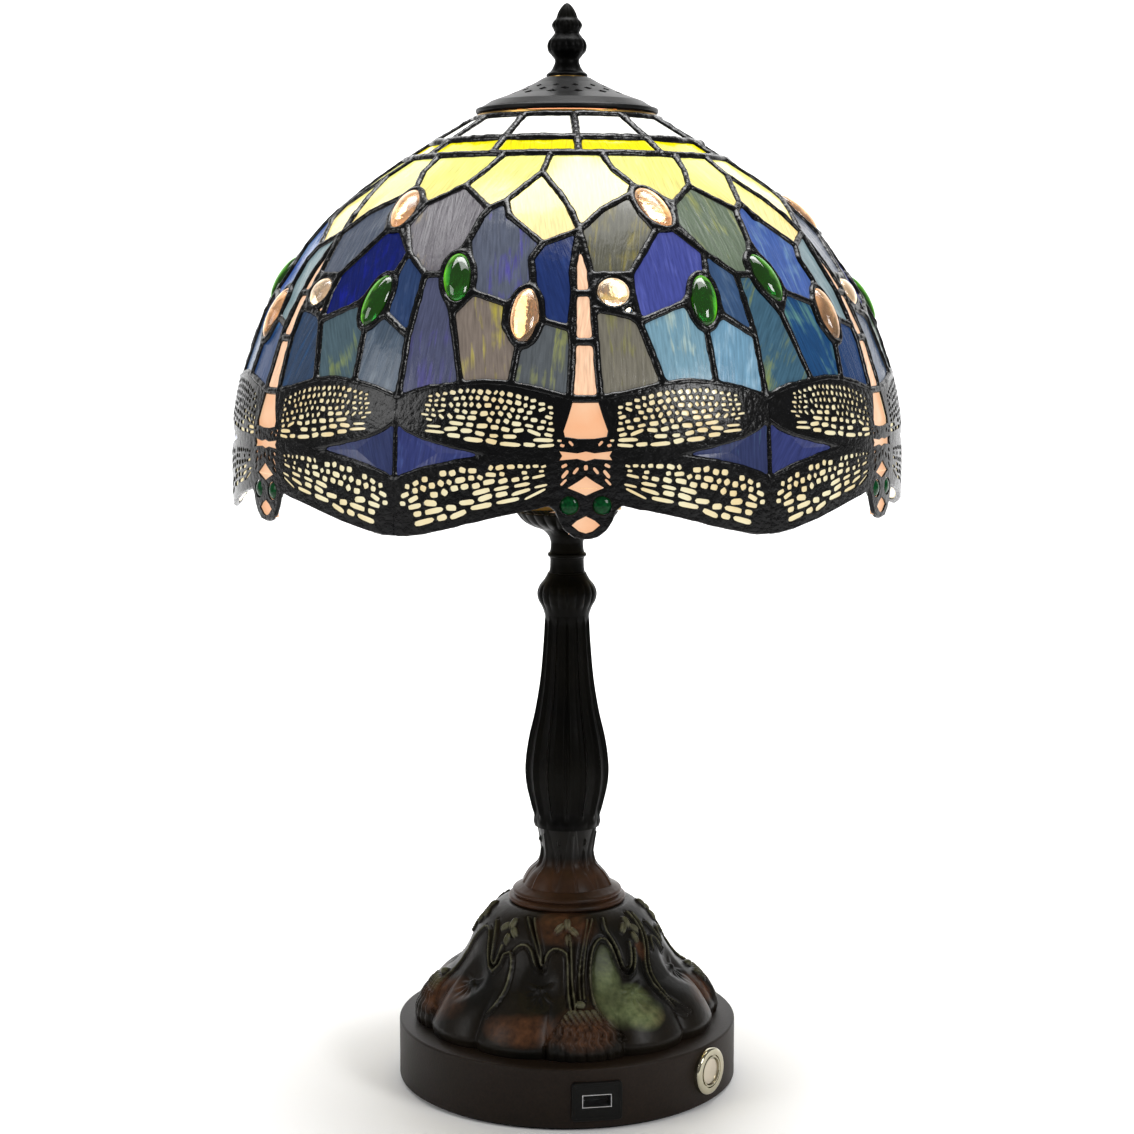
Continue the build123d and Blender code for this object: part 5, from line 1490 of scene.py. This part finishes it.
def bead_tree(finish):
    """Geometry Nodes: run a bead of solder of uneven width along every edge."""
    tree = bpy.data.node_groups.new("solder_beads", "GeometryNodeTree")
    tree.interface.new_socket("Geometry", in_out="INPUT", socket_type="NodeSocketGeometry")
    for label, value in (("Step", 1.1 * MM), ("Unevenness", 0.3), ("Lump Scale", 230.0), ("Sag", 0.5 * MM)):
        socket = tree.interface.new_socket(label, in_out="INPUT", socket_type="NodeSocketFloat")
        socket.default_value = value
    tree.interface.new_socket("Geometry", in_out="OUTPUT", socket_type="NodeSocketGeometry")
    inputs = tree.nodes.new("NodeGroupInput").outputs
    lines = step(tree, "GeometryNodeMeshToCurve", {"Mesh": inputs["Geometry"]}).outputs[0]
    even = step(tree, "GeometryNodeResampleCurve", {"Curve": lines, "Length": inputs["Step"]}, mode="LENGTH")
    place = step(tree, "GeometryNodeInputPosition").outputs[0]
    lumps = reckon(tree, "SUBTRACT", noise(tree, place, inputs["Lump Scale"]), 0.5)
    uneven = reckon(tree, "MULTIPLY_ADD", reckon(tree, "MULTIPLY", lumps, inputs["Unevenness"]), 2.0, 1.0)
    stated = step(tree, "GeometryNodeInputNamedAttribute", {"Name": "bead_radius"}, data_type="FLOAT")
    radius = reckon(tree, "MULTIPLY", stated.outputs["Attribute"], uneven)
    drift = step(tree, "ShaderNodeTexNoise", {"Vector": place, "Scale": 90.0, "Detail": 1.0}).outputs["Color"]
    centred = step(tree, "ShaderNodeVectorMath", {0: drift, 1: (0.5,) * 3}, operation="SUBTRACT")
    shift = step(tree, "ShaderNodeVectorMath", {0: centred.outputs[0], "Scale": inputs["Sag"]},
                 operation="SCALE")
    moved = step(tree, "GeometryNodeSetPosition", {"Geometry": even.outputs[0], "Offset": shift.outputs[0]})
    section = step(tree, "GeometryNodeCurvePrimitiveCircle", {"Resolution": 10, "Radius": 1.0})
    sized = step(tree, "GeometryNodeSetCurveRadius", {"Curve": moved.outputs[0], "Radius": radius})
    tube = step(tree, "GeometryNodeCurveToMesh", {"Curve": sized.outputs[0], "Fill Caps": True,
                                                  "Profile Curve": section.outputs[0]})
    for socket in tube.inputs:
        if socket.name == "Scale":
            tree.links.new(radius, socket)
    real = step(tree, "GeometryNodeRealizeInstances", {"Geometry": tube.outputs[0]})
    painted = step(tree, "GeometryNodeSetMaterial", {"Geometry": real.outputs[0], "Material": finish})
    output = tree.nodes.new("NodeGroupOutput")
    tree.links.new(painted.outputs[0], output.inputs[0])
    return tree


def run_nodes(mesh, tree, voxel=None, relax=0):
    """A plain mesh from a mesh put through a node tree, and fused at a voxel size if one is given."""
    holder = bpy.data.objects.new("work", mesh)
    bpy.context.scene.collection.objects.link(holder)
    nodes = holder.modifiers.new("nodes", "NODES")
    nodes.node_group = tree
    if voxel:
        fuse = holder.modifiers.new("fuse", "REMESH")
        fuse.mode = "VOXEL"
        fuse.voxel_size = voxel
        soften = holder.modifiers.new("soften", "SMOOTH")
        soften.factor = 0.5
        soften.iterations = relax
    bpy.context.view_layer.update()
    result = bpy.data.meshes.new_from_object(holder.evaluated_get(bpy.context.evaluated_depsgraph_get()))
    bpy.data.objects.remove(holder)
    return result


VOXEL = 0.62 * MM
share = run_nodes(seam_mesh(), bead_tree(black_metal), VOXEL, relax=2)
share_points = np.array([v.co for v in share.vertices], float) / MM
share_faces = [tuple(f.vertices) for f in share.polygons]
for n in range(DRAGONFLIES):
    mesh = bpy.data.meshes.new(f"seams_{n + 1}")
    mesh.from_pydata((spun(share_points, n) * MM).tolist(), [], share_faces)
    place_mesh(f"seams_{n + 1}", mesh, black_metal, body="shade", replaces=["solder_web"],
               crease=180)


# ---- Cap and finial ---------------------------------------------------------------------------------------
# The cap is spun metal pierced with small diamonds for the warm air; it keeps the shape that the frame
# gives it. The cast finial above it has a flared foot, a ribbed ball, a ring of beads and a pointed bud.
def pierced_cap_finish():
    """Satin black outside; inside, bare metal that the bulb below lights up, painted as a peach glow."""
    made, tree, shader = new_finish("cap_black_and_painted_glow")
    spot = step(tree, "ShaderNodeTexCoord").outputs
    fine = noise(tree, spot["Object"], 300.0, 3.0)
    facing = step(tree, "ShaderNodeSeparateXYZ", {0: spot["Normal"]}).outputs["Z"]
    flat = step(tree, "ShaderNodeVectorMath", {0: spot["Object"], 1: (1.0, 1.0, 0.0)}, operation="MULTIPLY")
    reach = step(tree, "ShaderNodeVectorMath", {0: flat.outputs[0]}, operation="LENGTH").outputs["Value"]
    # Painted light: downward faces within GLOW_REACH of the axis glow peach.
    inside = reckon(tree, "MULTIPLY", reckon(tree, "LESS_THAN", facing, -0.2),
                    reckon(tree, "LESS_THAN", reach, GLOW_REACH))
    skin = ramp(tree, fine, [(0.3, pigment(5, 5, 5)), (0.7, pigment(10, 10, 10))])
    tone = mixed(tree, inside, skin, pigment(236, 160, 118))
    feed(tree, shader, {"Base Color": tone, "Emission Color": tone, "Emission Strength": inside,
                        "Roughness": 0.4, "Specular IOR Level": 0.14})
    bump(tree, shader, fine, 0.03)
    return made


GLOW_REACH = 34.0 * MM
dress("vent_cap", pierced_cap_finish())

finial_low, finial_high = (v.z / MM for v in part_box("finial"))
FINIAL_LINE = [(9.3, finial_low), (9.3, finial_low + 0.6), (7.6, 465.2), (6.2, 467.4), (5.5, 470.2),
               (6.9, 472.2), (8.6, 474.2), (9.1, 476.2), (8.4, 478.6), (6.7, 480.6), (5.6, 482.4),
               (6.1, 483.6), (6.9, 485.6), (6.2, 487.2), (5.0, 488.6), (4.3, 490.6), (3.0, 493.0),
               (1.4, 494.8), (0.12, finial_high)]
FINIAL_RIBS = 12
FINIAL_BEADS = 20


def ribbed(theta, r, z):
    """Ribs on the ball and shallow grooves on the bud."""
    ball = np.exp(-((z - 476.2) / 2.6) ** 2) * 0.55
    bud = smooth_step(z, 487.5, 489.5) * 0.3 * np.clip(r / 4, 0, 1)
    wave = np.abs(np.sin(theta * FINIAL_RIBS / 2)) ** 0.7
    beads = np.exp(-((z - 485.6) / 1.3) ** 2) * 0.5 * (1 - np.abs(np.sin(theta * FINIAL_BEADS / 2)))
    return r - (ball + bud) * (1 - wave) - beads * (r > 1.0), z


finial_skin = smooth_line(FINIAL_LINE, 120)
finial_skin[:, 0] = np.clip(finial_skin[:, 0], 0.12, None)
finial_skin[:, 1] = np.clip(finial_skin[:, 1], finial_low, finial_high)
finial_line = [(4.7, finial_low)] + [tuple(p) for p in finial_skin] + [(0.12, 480.0), (4.7, 480.0)]
points, faces = turned_points(finial_line, 192, ribbed)
add_piece("finial_casting", points, faces, stem_bronze, body="finial", replaces=["finial"],
          crease=60)
